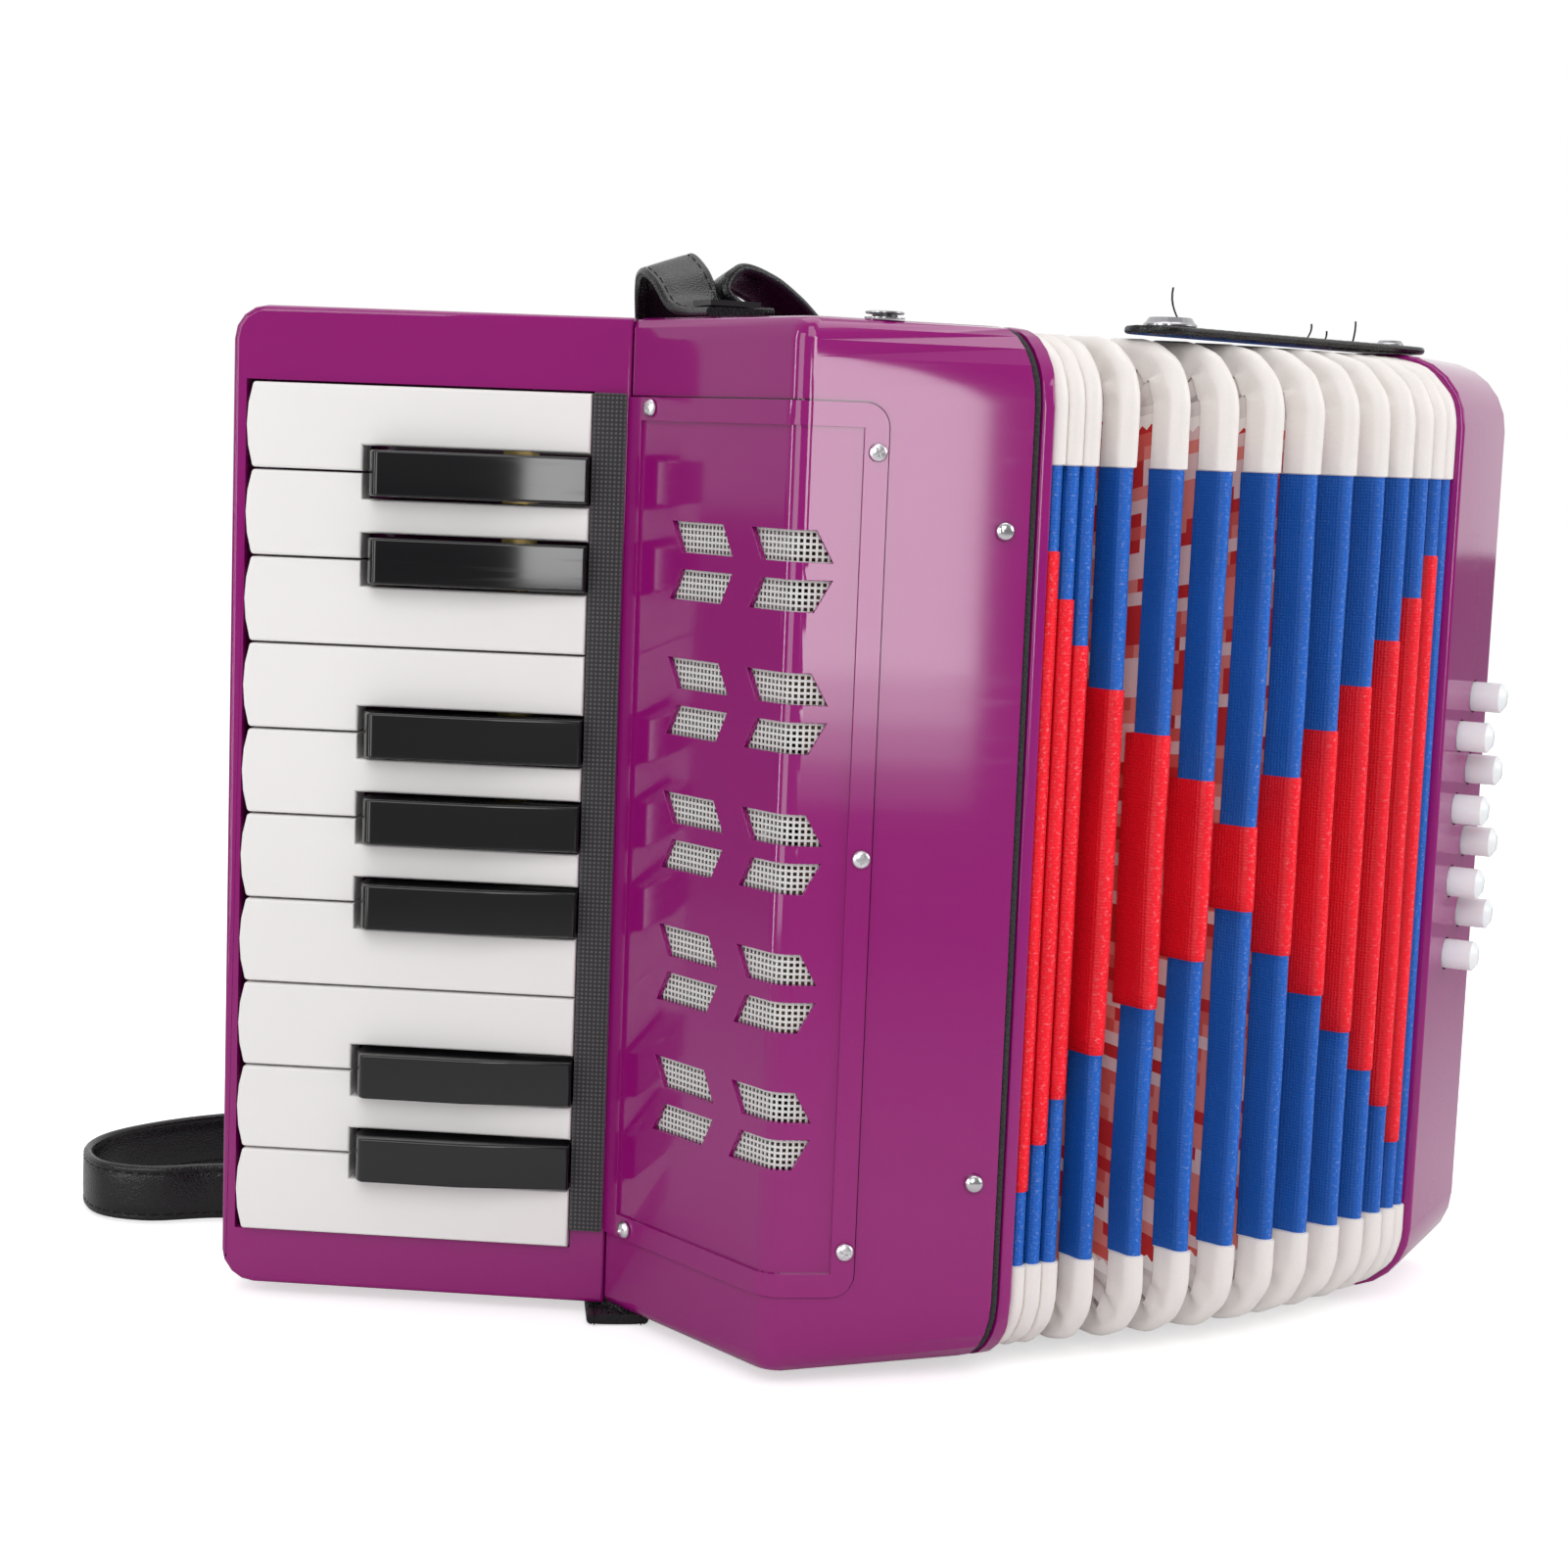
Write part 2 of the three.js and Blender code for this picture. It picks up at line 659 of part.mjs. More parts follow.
// The rocking part of a key: barrel on the axle, arm, and the pallet that lies on the soundboard
function keyAction(z) {
  const axle = new THREE.Vector2(keyboardWidth - axleSetback, axleDepth);
  const from = inHousing(boardBack);
  const to = inHousing(boardFront);
  const run = to.clone().sub(from).normalize();
  const out = new THREE.Vector2(run.y, -run.x);
  const seat = from.clone().lerp(to, palletShare);
  const lift = boardThickness / 2 + clearance;
  const pad = (along, up) => seat.clone().addScaledVector(run, along).addScaledVector(out, up);
  const reachAlong = palletLength / 2;
  const top = lift + palletThickness;
  const pallet = prism(
    [pad(reachAlong, lift), pad(reachAlong, top), pad(-reachAlong, top), pad(-reachAlong, lift)],
    z - palletWidth / 2,
    z + palletWidth / 2,
  );
  const armEnd = pad(0, lift + palletThickness / 2);
  const reach = armEnd.clone().sub(axle).normalize();
  const side = leftOf(reach).multiplyScalar(armThickness / 2);
  const arm = prism(
    [axle.clone().sub(side), armEnd.clone().sub(side), armEnd.clone().add(side), axle.clone().add(side)],
    z - armWidth / 2,
    z + armWidth / 2,
  );
  const lever = prism(
    [
      [leverStart, leverTop],
      [axle.x, leverTop + clearance],
      [axle.x, axleDepth + barrelRadius / 2],
      [leverStart, leverTop + leverThickness],
    ],
    z - leverWidth / 2,
    z + leverWidth / 2,
  );
  const half = leverWidth / 2;
  const barrel = uprightRod(axle.x, axle.y, barrelRadius, z - half, z + half, smallSides);
  const bore = uprightRod(axle.x, axle.y, axleBore, z - leverWidth, z + leverWidth, smallSides);
  return { body: join(lever, barrel, arm, pallet), bore };
}

function whiteKey(index) {
  const low = keysBottom + index * whitePitch + keyGap / 2;
  const high = low + whitePitch - keyGap;
  const middle = (low + high) / 2;
  const front = keyWellMargin + keyFrontGap;
  const rear = keyboardWidth - feltWidth - feltEnd - clearance;
  const notch = blackWidth / 2 + notchGap - keyGap / 2;
  const bulge = bulgeShares.map((share) => [
    front + whiteBulge * (2 * share - 1) ** 2,
    low + (high - low) * share,
  ]);
  const lowSide = blackNotches.includes(index)
    ? [[notchStart, low], [notchStart, low + notch], [rear, low + notch]]
    : [[rear, low]];
  const highSide = blackNotches.includes(index + 1)
    ? [[rear, high - notch], [notchStart, high - notch], [notchStart, high]]
    : [[rear, high]];
  const outline = [[front + whiteBulge, low], ...lowSide, ...highSide, [front + whiteBulge, high], ...bulge];
  const top = slab(outline, -whiteRise, keySkirt);
  const action = keyAction(middle);
  return cut(join(top, action.body), action.bore);
}

function blackKey(boundary) {
  const z = keysBottom + boundary * whitePitch;
  const rear = keyboardWidth - feltWidth - feltEnd - clearance;
  const profile = [
    [blackFront, keySkirt],
    [blackFront, -blackRise + blackFrontDrop * 2],
    [blackFront + blackFrontSlope / 2, -blackRise + blackFrontDrop / 2],
    [blackFront + blackFrontSlope, -blackRise],
    [blackFlatEnd, -blackRise],
    [rear, -blackRise + blackRearDrop],
    [rear, keySkirt],
  ].reverse();
  const top = prism(profile, z - blackWidth / 2, z + blackWidth / 2);
  const action = keyAction(z);
  return cut(join(top, action.body), action.bore);
}

const keyCentres = () => [
  ...Array.from({ length: whiteKeys }, (_, i) => keysBottom + (i + 0.5) * whitePitch),
  ...blackNotches.map((boundary) => keysBottom + boundary * whitePitch),
];

// One strip on the housing floor, with a leaf that bears on the underside of each key
function keySpringComb() {
  const floor = housingDepth - wall - keyStripFloorGap;
  const last = keysBottom + whiteKeys * whitePitch;
  const strip = box(keyLeafStart - keyStripWidth / 2, keyLeafStart + keyStripWidth / 2,
    floor - keyStripThickness, floor, keysBottom, last);
  const tip = keySkirt + clearance;
  const leaves = keyCentres().map((z) =>
    prism(
      [
        [keyLeafTip, tip],
        [keyLeafStart, floor - keyStripThickness],
        [keyLeafStart, floor - keyStripThickness + keyLeafThickness],
        [keyLeafTip, tip + keyLeafThickness],
      ],
      z - keyLeafWidth / 2,
      z + keyLeafWidth / 2,
    ),
  );
  return join(strip, ...leaves);
}

// The soundboard's own directions in plan
function boardFrame() {
  const from = new THREE.Vector2(boardBack.x, boardBack.y);
  const to = new THREE.Vector2(boardFront.x, boardFront.y);
  const run = to.clone().sub(from).normalize();
  return { from, to, run, inward: leftOf(run) };
}

// A block on the soundboard, as a plan outline between two distances along it and two distances behind it
function boardBlock(a0, a1, b0, b1, z0, z1) {
  const { from, run, inward } = boardFrame();
  const at = (a, b) => from.clone().addScaledVector(run, a).addScaledVector(inward, b);
  return prism([at(a0, b0), at(a1, b0), at(a1, b1), at(a0, b1)], z0, z1);
}

function boardMiddle() {
  const { from, to } = boardFrame();
  return from.distanceTo(to) * palletShare;
}

function trebleSoundboard() {
  const { from, to } = boardFrame();
  const length = from.distanceTo(to);
  const half = boardThickness / 2;
  const plate = boardBlock(-reedBlockWidth, length + reedBlockWidth, -half, half, 0, bodyHeight);
  const middle = boardMiddle();
  const slots = keyCentres().map((z) =>
    boardBlock(middle - airSlotLength / 2, middle + airSlotLength / 2, -half - overrun, half + overrun,
      z - airSlotWidth / 2, z + airSlotWidth / 2),
  );
  return cut(plate.intersect(trebleRoom(wall + clearance, -wall)), ...slots);
}

function trebleReedBlock() {
  const near = boardThickness / 2 + clearance;
  const far = near + reedBlockDepth;
  const middle = boardMiddle();
  const low = keysBottom - reedBlockMargin / 2;
  const high = keysBottom + whiteKeys * whitePitch + reedBlockMargin / 2;
  const block = boardBlock(middle - reedBlockWidth / 2, middle + reedBlockWidth / 2, near, far, low, high);
  const cells = keyCentres().flatMap((z) => [
    boardBlock(middle - airSlotLength / 2, middle + airSlotLength / 2, near - overrun, far - reedCellFloor,
      z - airSlotWidth / 2, z + airSlotWidth / 2),
    boardBlock(middle - reedSlotLength / 2, middle + reedSlotLength / 2,
      far - reedCellFloor - overrun, far + overrun,
      z - reedSlotWidth / 2, z + reedSlotWidth / 2),
  ]);
  return cut(block, ...cells);
}

// A slanted opening on a wall, from its lower edge up
const chevron = (start, width, low, slantLow, slantHigh) => [
  [start + slantLow, low],
  [start + width + slantLow, low],
  [start + width + slantHigh, low + chevronRise],
  [start + slantHigh, low + chevronRise],
];

function grilleOpenings() {
  const grille = onWall(seam, grilleAngle);
  const front = onWall(ridge, caseFrontAngle);
  const depth = [-coverSink - overrun, coverStand + overrun];
  const outerEnd = outerChevronStart + outerChevronWidth - grilleWidth;
  const cuts = [];
  for (let group = 0; group < grilleGroups; group++) {
    const middle = lowestGroup + group * groupPitch;
    const upper = middle + chevronGap / 2;
    const lower = middle - chevronGap / 2 - chevronRise;
    for (const [low, slantLow, slantHigh] of [[upper, chevronSlant, 0], [lower, 0, chevronSlant]]) {
      const onFront = [
        [-overrun, low],
        [outerEnd + slantLow, low],
        [outerEnd + slantHigh, low + chevronRise],
        [-overrun, low + chevronRise],
      ];
      const onGrille = chevron(outerChevronStart, outerChevronWidth, low, slantLow, slantHigh);
      onGrille[1][0] = onGrille[2][0] = grilleWidth + overrun / 2;
      const onInner = chevron(innerChevronStart, innerChevronWidth, low, slantLow, slantHigh);
      cuts.push(wallPrism(grille, onInner, ...depth));
      cuts.push(wallPrism(grille, onGrille, ...depth));
      cuts.push(wallPrism(front, onFront, ...depth));
    }
  }
  return cuts;
}

function grilleCover() {
  const panel = prism(wrapOutline(clearance, coverWrap, -coverSink, coverStand), coverBottom, coverTop);
  const field = prism(
    wrapOutline(coverRim, coverWrap - coverRim, coverStand - coverField, coverStand + overrun),
    coverBottom + coverRim,
    coverTop - coverRim,
  );
  const frames = [onWall(seam, grilleAngle), onWall(ridge, caseFrontAngle)];
  const holes = grilleScrewPlaces().map(([face, along, height]) =>
    wallTurned(frames[face], along, height, boreProfile(screwShank + clearance)),
  );
  return cut(panel, field, ...grilleOpenings(), ...holes);
}

function grilleMesh() {
  const out = -coverSink - clearance;
  return prism(
    wrapOutline(coverLedge + meshMargin, coverWrap - coverLedge - meshMargin, out - meshThickness, out),
    coverBottom + coverLedge + meshMargin,
    coverTop - coverLedge - meshMargin,
  );
}

function screw(frame, along, height, radius, headHeight, shank, length, stand) {
  const base = stand + clearance;
  return wallTurned(frame, along, height, [
    [0, -length],
    [shank, -length],
    [shank, base],
    [radius, base],
    [radius * headTopShare, base + headHeight],
    [0, base + headHeight],
  ]);
}

// Bellows: the place and direction of a fold's edge, at a share of the way round the fan
function fanPlane(share) {
  const start = new THREE.Vector2(shutFolds * shutPitch, 0);
  const chord = bassFront.clone().sub(start);
  const middle = start.clone().addScaledVector(chord, 0.5);
  const away = chord.length() / 2 / Math.tan(turn(fanAngle) / 2);
  const pole = middle.addScaledVector(leftOf(chord).normalize(), away);
  const angle = turn(fanAngle) * share;
  return new THREE.Matrix4()
    .makeTranslation(pole.x, pole.y, 0)
    .multiply(new THREE.Matrix4().makeRotationZ(angle))
    .multiply(new THREE.Matrix4().makeTranslation(start.x - pole.x, start.y - pole.y, 0));
}

const shutPlane = (x) => new THREE.Matrix4().makeTranslation(x, 0, 0);

// A pleated tube through planes, valley and peak in turn, with its cloth's thickness inside
function pleats(planes) {
  const ring = (plane, inset) =>
    frameOutline(inset, foldCornerSteps).map((p) => new THREE.Vector3(0, p.x, p.y).applyMatrix4(plane));
  const inset = (i) => (i % 2 ? foldPeakInset : foldPeakInset + foldDepth);
  const outer = planes.map((plane, i) => ring(plane, inset(i)));
  const inner = planes.map((plane, i) => ring(plane, inset(i) + foldCloth)).reverse();
  return loft([...outer, ...inner], true);
}

function shutPleats() {
  const length = shutFolds * shutPitch - clearance * 2;
  const count = shutFolds * 2;
  return pleats(Array.from({ length: count + 1 }, (_, i) => shutPlane(clearance + (length * i) / count)));
}

function fanPleats() {
  const planes = [fanPlane(0)];
  let share = 0;
  for (const step of fanFoldShares) {
    planes.push(fanPlane(share + step / 2));
    share += step;
    planes.push(fanPlane(share));
  }
  return pleats(planes);
}

function trebleBellowsFrame() {
  const rim = frameRing(-frameRim, 0, 0, frameRimWidth + foldDepth / 2);
  const lip = frameRing(-frameRim - frameLip, -frameRim / 2, frameLipInset, frameLipInset + frameLipWidth);
  const holes = casePinPlaces().map(([frame, along, height]) =>
    wallTurned(frame, along, height, boreProfile(pinShank + clearance)),
  );
  return cut(join(rim, lip), ...holes);
}

// Bass side, drawn in its own directions: x from the bellows outwards, y from the front back
function bassShell() {
  const ring = (x, inset) => frameOutline(inset).map((p) => new THREE.Vector3(x, p.x, p.y));
  const far = bassEdgeShares.map((share) => {
    const angle = quarter * share;
    return ring(bassDepth - bassEdge * (1 - Math.sin(angle)), bassEdge * (1 - Math.cos(angle)));
  });
  const outside = loft([ring(0, 0), ...far]);
  const mouth = slice(frameOutline(bassRim), -overrun, bassRim);
  const room = slice(frameOutline(wall), bassRim - clearance, bassDepth - wall);
  const hole = buttonRadius + buttonHoleGap;
  const holes = buttonPlaces().map(([x, z]) => buttonRod(x, z, hole, -overrun, wall + overrun));
  const feet = bassFootShares.map(([across, back]) => foot(across * bassDepth, back * frameDepth));
  return cut(join(outside, ...feet), mouth, room, ...holes);
}

const buttonPlaces = () =>
  Array.from({ length: buttonCount }, (_, i) => [
    i % 2 ? innerColumn : outerColumn,
    buttonMiddle + ((buttonCount - 1) / 2 - i) * buttonPitch,
  ]);

const buttonRod = (x, z, radius, y0, y1, sides = smallSides + 4) =>
  solid(new THREE.CylinderGeometry(radius, radius, y1 - y0, sides).translate(x, (y0 + y1) / 2, z));

// A bass button with its stem and the slide valve that it carries over the soundboard
function bassButton(x, z) {
  const cap = [
    [0, buttonStand],
    [buttonRadius * domeRadiusShare, buttonStand - buttonDome * domeDropShare],
    [buttonRadius, buttonStand - buttonDome],
    [buttonRadius, -wall - clearance],
    [collarRadius, -wall - clearance],
    [collarRadius, -wall - clearance - collarThickness],
    [buttonRadius, -wall - clearance - collarThickness],
    [buttonRadius, -buttonTail],
    [stemRadius, -buttonTail],
    [stemRadius, -stemEnd],
    [0, -stemEnd],
  ];
  const points = cap.map(([radius, out]) => new THREE.Vector2(radius, out)).reverse();
  const turned = solid(
    new THREE.LatheGeometry(points, smallSides + 4).rotateX(turn(180)).translate(x, 0, z),
  );
  const board = bassBoardPlace + boardThickness + clearance;
  const valveEnd = stemEnd - clearance;
  const valve = box(board, board + valveThickness, valveEnd - valveLength, valveEnd,
    z - valveWidth / 2, z + valveWidth / 2);
  const web = box(board + valveThickness / 2, x, valveEnd - valveLength / 2, valveEnd,
    z - stemRadius / 2, z + stemRadius / 2);
  return join(turned, valve, web);
}

function bassFrame() {
  const start = clearance * 2;
  const plate = frameRing(start, start + bassFramePlate, bassFrameInset, bassFrameInset + bassPlateWidth);
  const lip = frameRing(start + bassFramePlate / 2, start + bassFramePlate + bassFrameLip, bassFrameInset,
    bassFrameInset + bassLipWidth);
  return join(plate, lip);
}

function bassSoundboard() {
  const plate = slice(frameOutline(wall + clearance), bassBoardPlace, bassBoardPlace + boardThickness);
  const slotEnd = stemEnd - valveLength + valveSlot + clearance;
  const slots = buttonPlaces().map(([, z]) =>
    box(bassBoardPlace - overrun, bassBoardPlace + boardThickness + overrun, slotEnd - valveSlot, slotEnd,
      z - valveWidth / 3, z + valveWidth / 3),
  );
  return cut(plate, ...slots);
}

function bassReedBlock() {
  const near = bassFramePlate + clearance * 3;
  const far = bassBoardPlace - clearance;
  const front = bassFrameInset + bassLipWidth + clearance * 2;
  const z0 = buttonMiddle - (buttonPitch * buttonCount) / 2 - bassReedMargin;
  const z1 = buttonMiddle + (buttonPitch * buttonCount) / 2 + bassReedMargin;
  const block = box(near, far, front, front + bassReedLength, z0, z1);
  const cells = buttonPlaces().flatMap(([, z]) => [
    box(near + reedCellFloor, far + overrun, front + overrun, front + bassReedLength - overrun,
      z - valveWidth / 2, z + valveWidth / 2),
    box(near - overrun, far, front + bassReedLength / 2, front + bassReedLength - overrun,
      z - reedSlotWidth / 2, z + reedSlotWidth / 2),
  ]);
  return cut(block, ...cells);
}

// One bent strip on the bass soundboard, with a leaf that bears on the end of each stem
function bassSpringComb() {
  const board = bassBoardPlace + boardThickness + clearance;
  const z0 = buttonMiddle - (buttonPitch * buttonCount) / 2;
  const z1 = buttonMiddle + (buttonPitch * buttonCount) / 2;
  const place = bassStripPlace;
  const base = box(board, board + keyStripThickness, place, place + bassStripWidth, z0, z1);
  const flange = box(board, outerColumn + stemRadius, place, place + keyStripThickness, z0, z1);
  const leaves = buttonPlaces().map(([x, z]) =>
    prism(
      [
        [x - stemRadius, stemEnd + clearance],
        [x - stemRadius + bassLeafThickness, stemEnd + clearance],
        [x + bassLeafThickness, place + keyStripThickness / 2],
        [x, place + keyStripThickness / 2],
      ],
      z - bassLeafWidth / 2,
      z + bassLeafWidth / 2,
    ),
  );
  return join(base, flange, ...leaves);
}

// The left hand's strap on the far face: flat tabs at its ends and a bow between them
function handStrap() {
  const face = bassDepth + clearance;
  const low = handEnd;
  const high = bodyHeight - handEnd;
  const run = high - low - handTab * 2;
  const bow = (z, extra) => {
    const share = (z - low - handTab) / run;
    return face + handBow * Math.sin(Math.PI * Math.min(Math.max(share, 0), 1)) ** handBowPower + extra;
  };
  const bowed = Array.from({ length: handSteps + 1 }, (_, i) => low + handTab + (run * i) / handSteps);
  const heights = [low, ...bowed, high];
  const outline = [
    ...heights.map((z) => [bow(z, strapThickness), z]),
    ...heights.map((z) => [bow(z, 0), z]).reverse(),
  ];
  const middle = frameDepth / 2;
  return slab(outline, middle - handWidth / 2, middle + handWidth / 2);
}

// The small strap on top that holds the bellows shut, with the socket that the stud goes into
function bellowsStrap() {
  const seat = bodyHeight + clearance;
  const half = bellowsStrapWidth / 2;
  const end = snapReach + snapBeyond + half;
  const outline = roundedRectangle(-end, half, -half, half, half - clearance, smallSides / 2);
  const socket = uprightRod(-snapReach, 0, socketRadius, seat - overrun, seat + strapThickness + overrun);
  return cut(prism(outline, seat, seat + bellowsStrapThickness), socket);
}

const turnedUp = (profile, sides = roundSides) =>
  solid(new THREE.LatheGeometry(profile.map(([r, z]) => new THREE.Vector2(r, z)), sides).rotateX(quarter));

const disc = (radius, z0, z1) => turnedUp([[0, z0], [radius, z0], [radius * headTopShare, z1], [0, z1]]);

function snapStud() {
  const base = bodyHeight + clearance;
  return turnedUp([
    [0, base],
    [studRadius, base],
    [studRadius, base + studBase],
    [studPostRadius, base + studBase],
    [studPostRadius, base + studPost],
    [0, base + studPost],
  ]);
}

// A flat strap swept along stations; each station has a middle and the direction of the strap's width
function ribbon(stations, width, thickness) {
  const curve = new THREE.CatmullRomCurve3(stations.map((s) => s.at));
  const across = new THREE.CatmullRomCurve3(stations.map((s) => s.across));
  const steps = (stations.length - 1) * 3;
  const rings = Array.from({ length: steps + 1 }, (_, i) => {
    const t = i / steps;
    const at = curve.getPoint(t);
    const run = curve.getTangent(t);
    const wide = across.getPoint(t);
    wide.addScaledVector(run, -wide.dot(run)).normalize();
    const thick = run.clone().cross(wide);
    const corner = (a, b) =>
      at.clone().addScaledVector(wide, (a * width) / 2).addScaledVector(thick, (b * thickness) / 2);
    return [corner(-1, -1), corner(1, -1), corner(1, 1), corner(-1, 1)];
  });
  return loft(rings);
}

// Shoulder strap: from its anchor on the top, arched over the back, round on the floor, and in under
function stationAt([across, back, up, lift, width]) {
  const height = up * bodyHeight + lift * shoulderWidth;
  const at = new THREE.Vector3(across * frameDepth, back * frameDepth, height);
  return { at, across: new THREE.Vector3(...width) };
}

const shoulderStrap = () =>
  join(
    ribbon(strapRouteShares.map(stationAt), shoulderWidth, strapThickness),
    ribbon(strapCurlShares.map(stationAt), shoulderWidth * curlShare, strapThickness),
  );

// Assembly: the treble side at the origin, the keyboard turned on its face, and the bass side fanned out
const instrument = new THREE.Group();
const keyboard = new THREE.Group();
keyboard.position.set(keyboardEnd.x, keyboardEnd.y, 0);
keyboard.rotation.z = turn(keyboardAngle);
const bass = new THREE.Group();
bass.position.set(bassFront.x, bassFront.y, 0);
bass.rotation.z = turn(fanAngle);
instrument.add(keyboard, bass);

const gasketStart = -frameRim - clearance;
const gasketEnd = -caseEnd + clearance;
instrument.add(
  meshOf("treble_case", trebleCase(), purple),
  meshOf("grille_cover", grilleCover(), purple),
  meshOf("grille_mesh", grilleMesh(), meshWhite),
  meshOf("treble_soundboard", trebleSoundboard(), wood),
  meshOf("treble_reed_block", trebleReedBlock(), wood),
  meshOf("treble_gasket", frameRing(gasketEnd, gasketStart, gasketInset, gasketInset + gasketWidth), foam),
  meshOf("treble_bellows_frame", trebleBellowsFrame(), purple),
  meshOf("bellows_shut_folds", shutPleats(), bellowsBlue),
  meshOf("bellows_fan_folds", fanPleats(), bellowsBlue),
  meshOf("shoulder_strap", shoulderStrap(), leatherette),
);

const wallFrames = [onWall(seam, grilleAngle), onWall(ridge, caseFrontAngle)];
grilleScrewPlaces().forEach(([face, along, height], i) => {
  const made = screw(wallFrames[face], along, height, screwHead, screwHeadHeight, screwShank, screwLength,
    coverStand);
  instrument.add(meshOf(`grille_screw_${i + 1}`, made, steel));
});
casePinPlaces().forEach(([frame, along, height], i) => {
  const made = screw(frame, along, height, pinHead, pinHeadHeight, pinShank, pinLength, 0);
  instrument.add(meshOf(`case_pin_${i + 1}`, made, steel));
});

const axlePlace = { x: keyboardWidth - axleSetback, y: axleDepth };
const feltStart = keyboardWidth - feltWidth - feltEnd;
keyboard.add(
  meshOf("keyboard_housing", keyboardHousing(), purple),
  meshOf("key_felt", box(feltStart, feltStart + feltWidth, -feltThickness - clearance, -clearance,
    keysBottom + feltEndMargin, keysBottom + whiteKeys * whitePitch), feltBlack),
  meshOf("key_axle", uprightRod(axlePlace.x, axlePlace.y, axleRadius, axleEndMargin,
    bodyHeight - axleEndMargin), steel),
  meshOf("key_spring_comb", keySpringComb(), brass),
);
for (let i = 0; i < whiteKeys; i++) {
  keyboard.add(meshOf(`white_key_${i + 1}`, whiteKey(i), whitePlastic));
}
blackNotches.forEach((boundary, i) => {
  keyboard.add(meshOf(`black_key_${i + 1}`, blackKey(boundary), blackPlastic));
});

bass.add(
  meshOf("bass_case", bassShell(), purple),
  meshOf("bass_bellows_frame", bassFrame(), wood),
  meshOf("bass_soundboard", bassSoundboard(), wood),
  meshOf("bass_reed_block", bassReedBlock(), wood),
  meshOf("bass_spring_comb", bassSpringComb(), brass),
  meshOf("hand_strap", handStrap(), leatherette),
);
buttonPlaces().forEach(([x, z], i) => {
  bass.add(meshOf(`bass_button_${i + 1}`, bassButton(x, z), whitePlastic));
});

// The strap on top turns on its rivet, and lies over the open folds while the bass side is fanned out
const strapGroup = new THREE.Group();
strapGroup.position.set(rivetPlace.x, rivetPlace.y, 0);
strapGroup.rotation.z = turn(bellowsStrapAngle);
bass.add(strapGroup);
const strapTop = bodyHeight + clearance + bellowsStrapThickness;
const rivet = disc(rivetRadius, strapTop + clearance, strapTop + clearance + rivetHeight);
const cap = disc(snapRadius, strapTop + clearance, strapTop + clearance + snapHeight);
strapGroup.add(
  meshOf("bellows_strap", bellowsStrap(), leatherette),
  meshOf("strap_rivet", rivet, steel),
  meshOf("snap_cap", cap.translate([-snapReach, 0, 0]), steel),
);

const stud = meshOf("snap_stud", snapStud(), steel);
stud.position.set(bellowsShut + rivetPlace.x - snapReach, rivetPlace.y, 0);
instrument.add(stud);

const anchorTop = box(-anchorWidth / 2, anchorWidth / 2, -anchorLength / 2, anchorLength / 2,
  0, anchorThickness);
const topAnchor = meshOf("strap_anchor_top", anchorTop, steel);
const anchorSeat = stationAt(strapRouteShares[0]).at;
const anchorHeight = bodyHeight + clearance * 3 + strapThickness;
topAnchor.position.set(anchorSeat.x, anchorSeat.y + anchorLength / 2, anchorHeight);
instrument.add(topAnchor);

// The part's own origin lies on the floor, under the middle of everything that stands and lies on it
const accordion = new THREE.Group();
const bounds = new THREE.Box3().setFromObject(instrument, true);
const middle = bounds.getCenter(new THREE.Vector3());
instrument.position.set(-middle.x, -middle.y, footHeight);
accordion.add(instrument);

export default accordion;
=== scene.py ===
"""A child's piano accordion with its bellows fanned open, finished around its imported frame.

Lengths in the tables are millimetres. Each side has its own directions: the case in plan from the treble
frame's front edge, the keyboard along its face and down into it, and the bass case outwards from the bellows.
"""
import json
import math

import bmesh
import bpy
from mathutils import Matrix, Vector, noise

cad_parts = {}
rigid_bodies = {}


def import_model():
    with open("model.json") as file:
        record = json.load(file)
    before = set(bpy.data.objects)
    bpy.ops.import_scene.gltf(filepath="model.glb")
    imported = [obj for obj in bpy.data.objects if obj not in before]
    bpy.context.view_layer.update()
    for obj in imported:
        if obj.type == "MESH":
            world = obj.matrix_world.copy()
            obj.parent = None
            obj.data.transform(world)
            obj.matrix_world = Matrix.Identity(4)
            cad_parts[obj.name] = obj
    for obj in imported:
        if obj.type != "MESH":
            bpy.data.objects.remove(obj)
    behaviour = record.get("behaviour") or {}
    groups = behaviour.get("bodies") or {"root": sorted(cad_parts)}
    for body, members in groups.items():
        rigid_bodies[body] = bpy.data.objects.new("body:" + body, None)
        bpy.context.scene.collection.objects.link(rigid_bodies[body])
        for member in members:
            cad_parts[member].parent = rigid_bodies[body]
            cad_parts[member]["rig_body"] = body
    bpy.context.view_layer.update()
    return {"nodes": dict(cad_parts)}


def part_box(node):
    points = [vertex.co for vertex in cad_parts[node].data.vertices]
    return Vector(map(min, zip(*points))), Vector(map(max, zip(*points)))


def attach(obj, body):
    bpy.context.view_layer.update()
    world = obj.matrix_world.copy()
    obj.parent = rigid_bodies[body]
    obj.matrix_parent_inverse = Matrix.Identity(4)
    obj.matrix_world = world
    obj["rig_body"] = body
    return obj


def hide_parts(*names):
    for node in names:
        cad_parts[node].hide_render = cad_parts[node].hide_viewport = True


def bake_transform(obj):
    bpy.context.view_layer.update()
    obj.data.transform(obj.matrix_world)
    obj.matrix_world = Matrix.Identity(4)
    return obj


bl_info = {
    "name": "Piano accordion",
    "version": (1, 0, 0),
    "blender": (4, 5, 0),
    "location": "View3D > Sidebar > Accordion",
    "description": "Dresses a small piano accordion: shells, keys, bellows, straps and studio",
    "category": "Object",
}

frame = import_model()
MM = 0.001

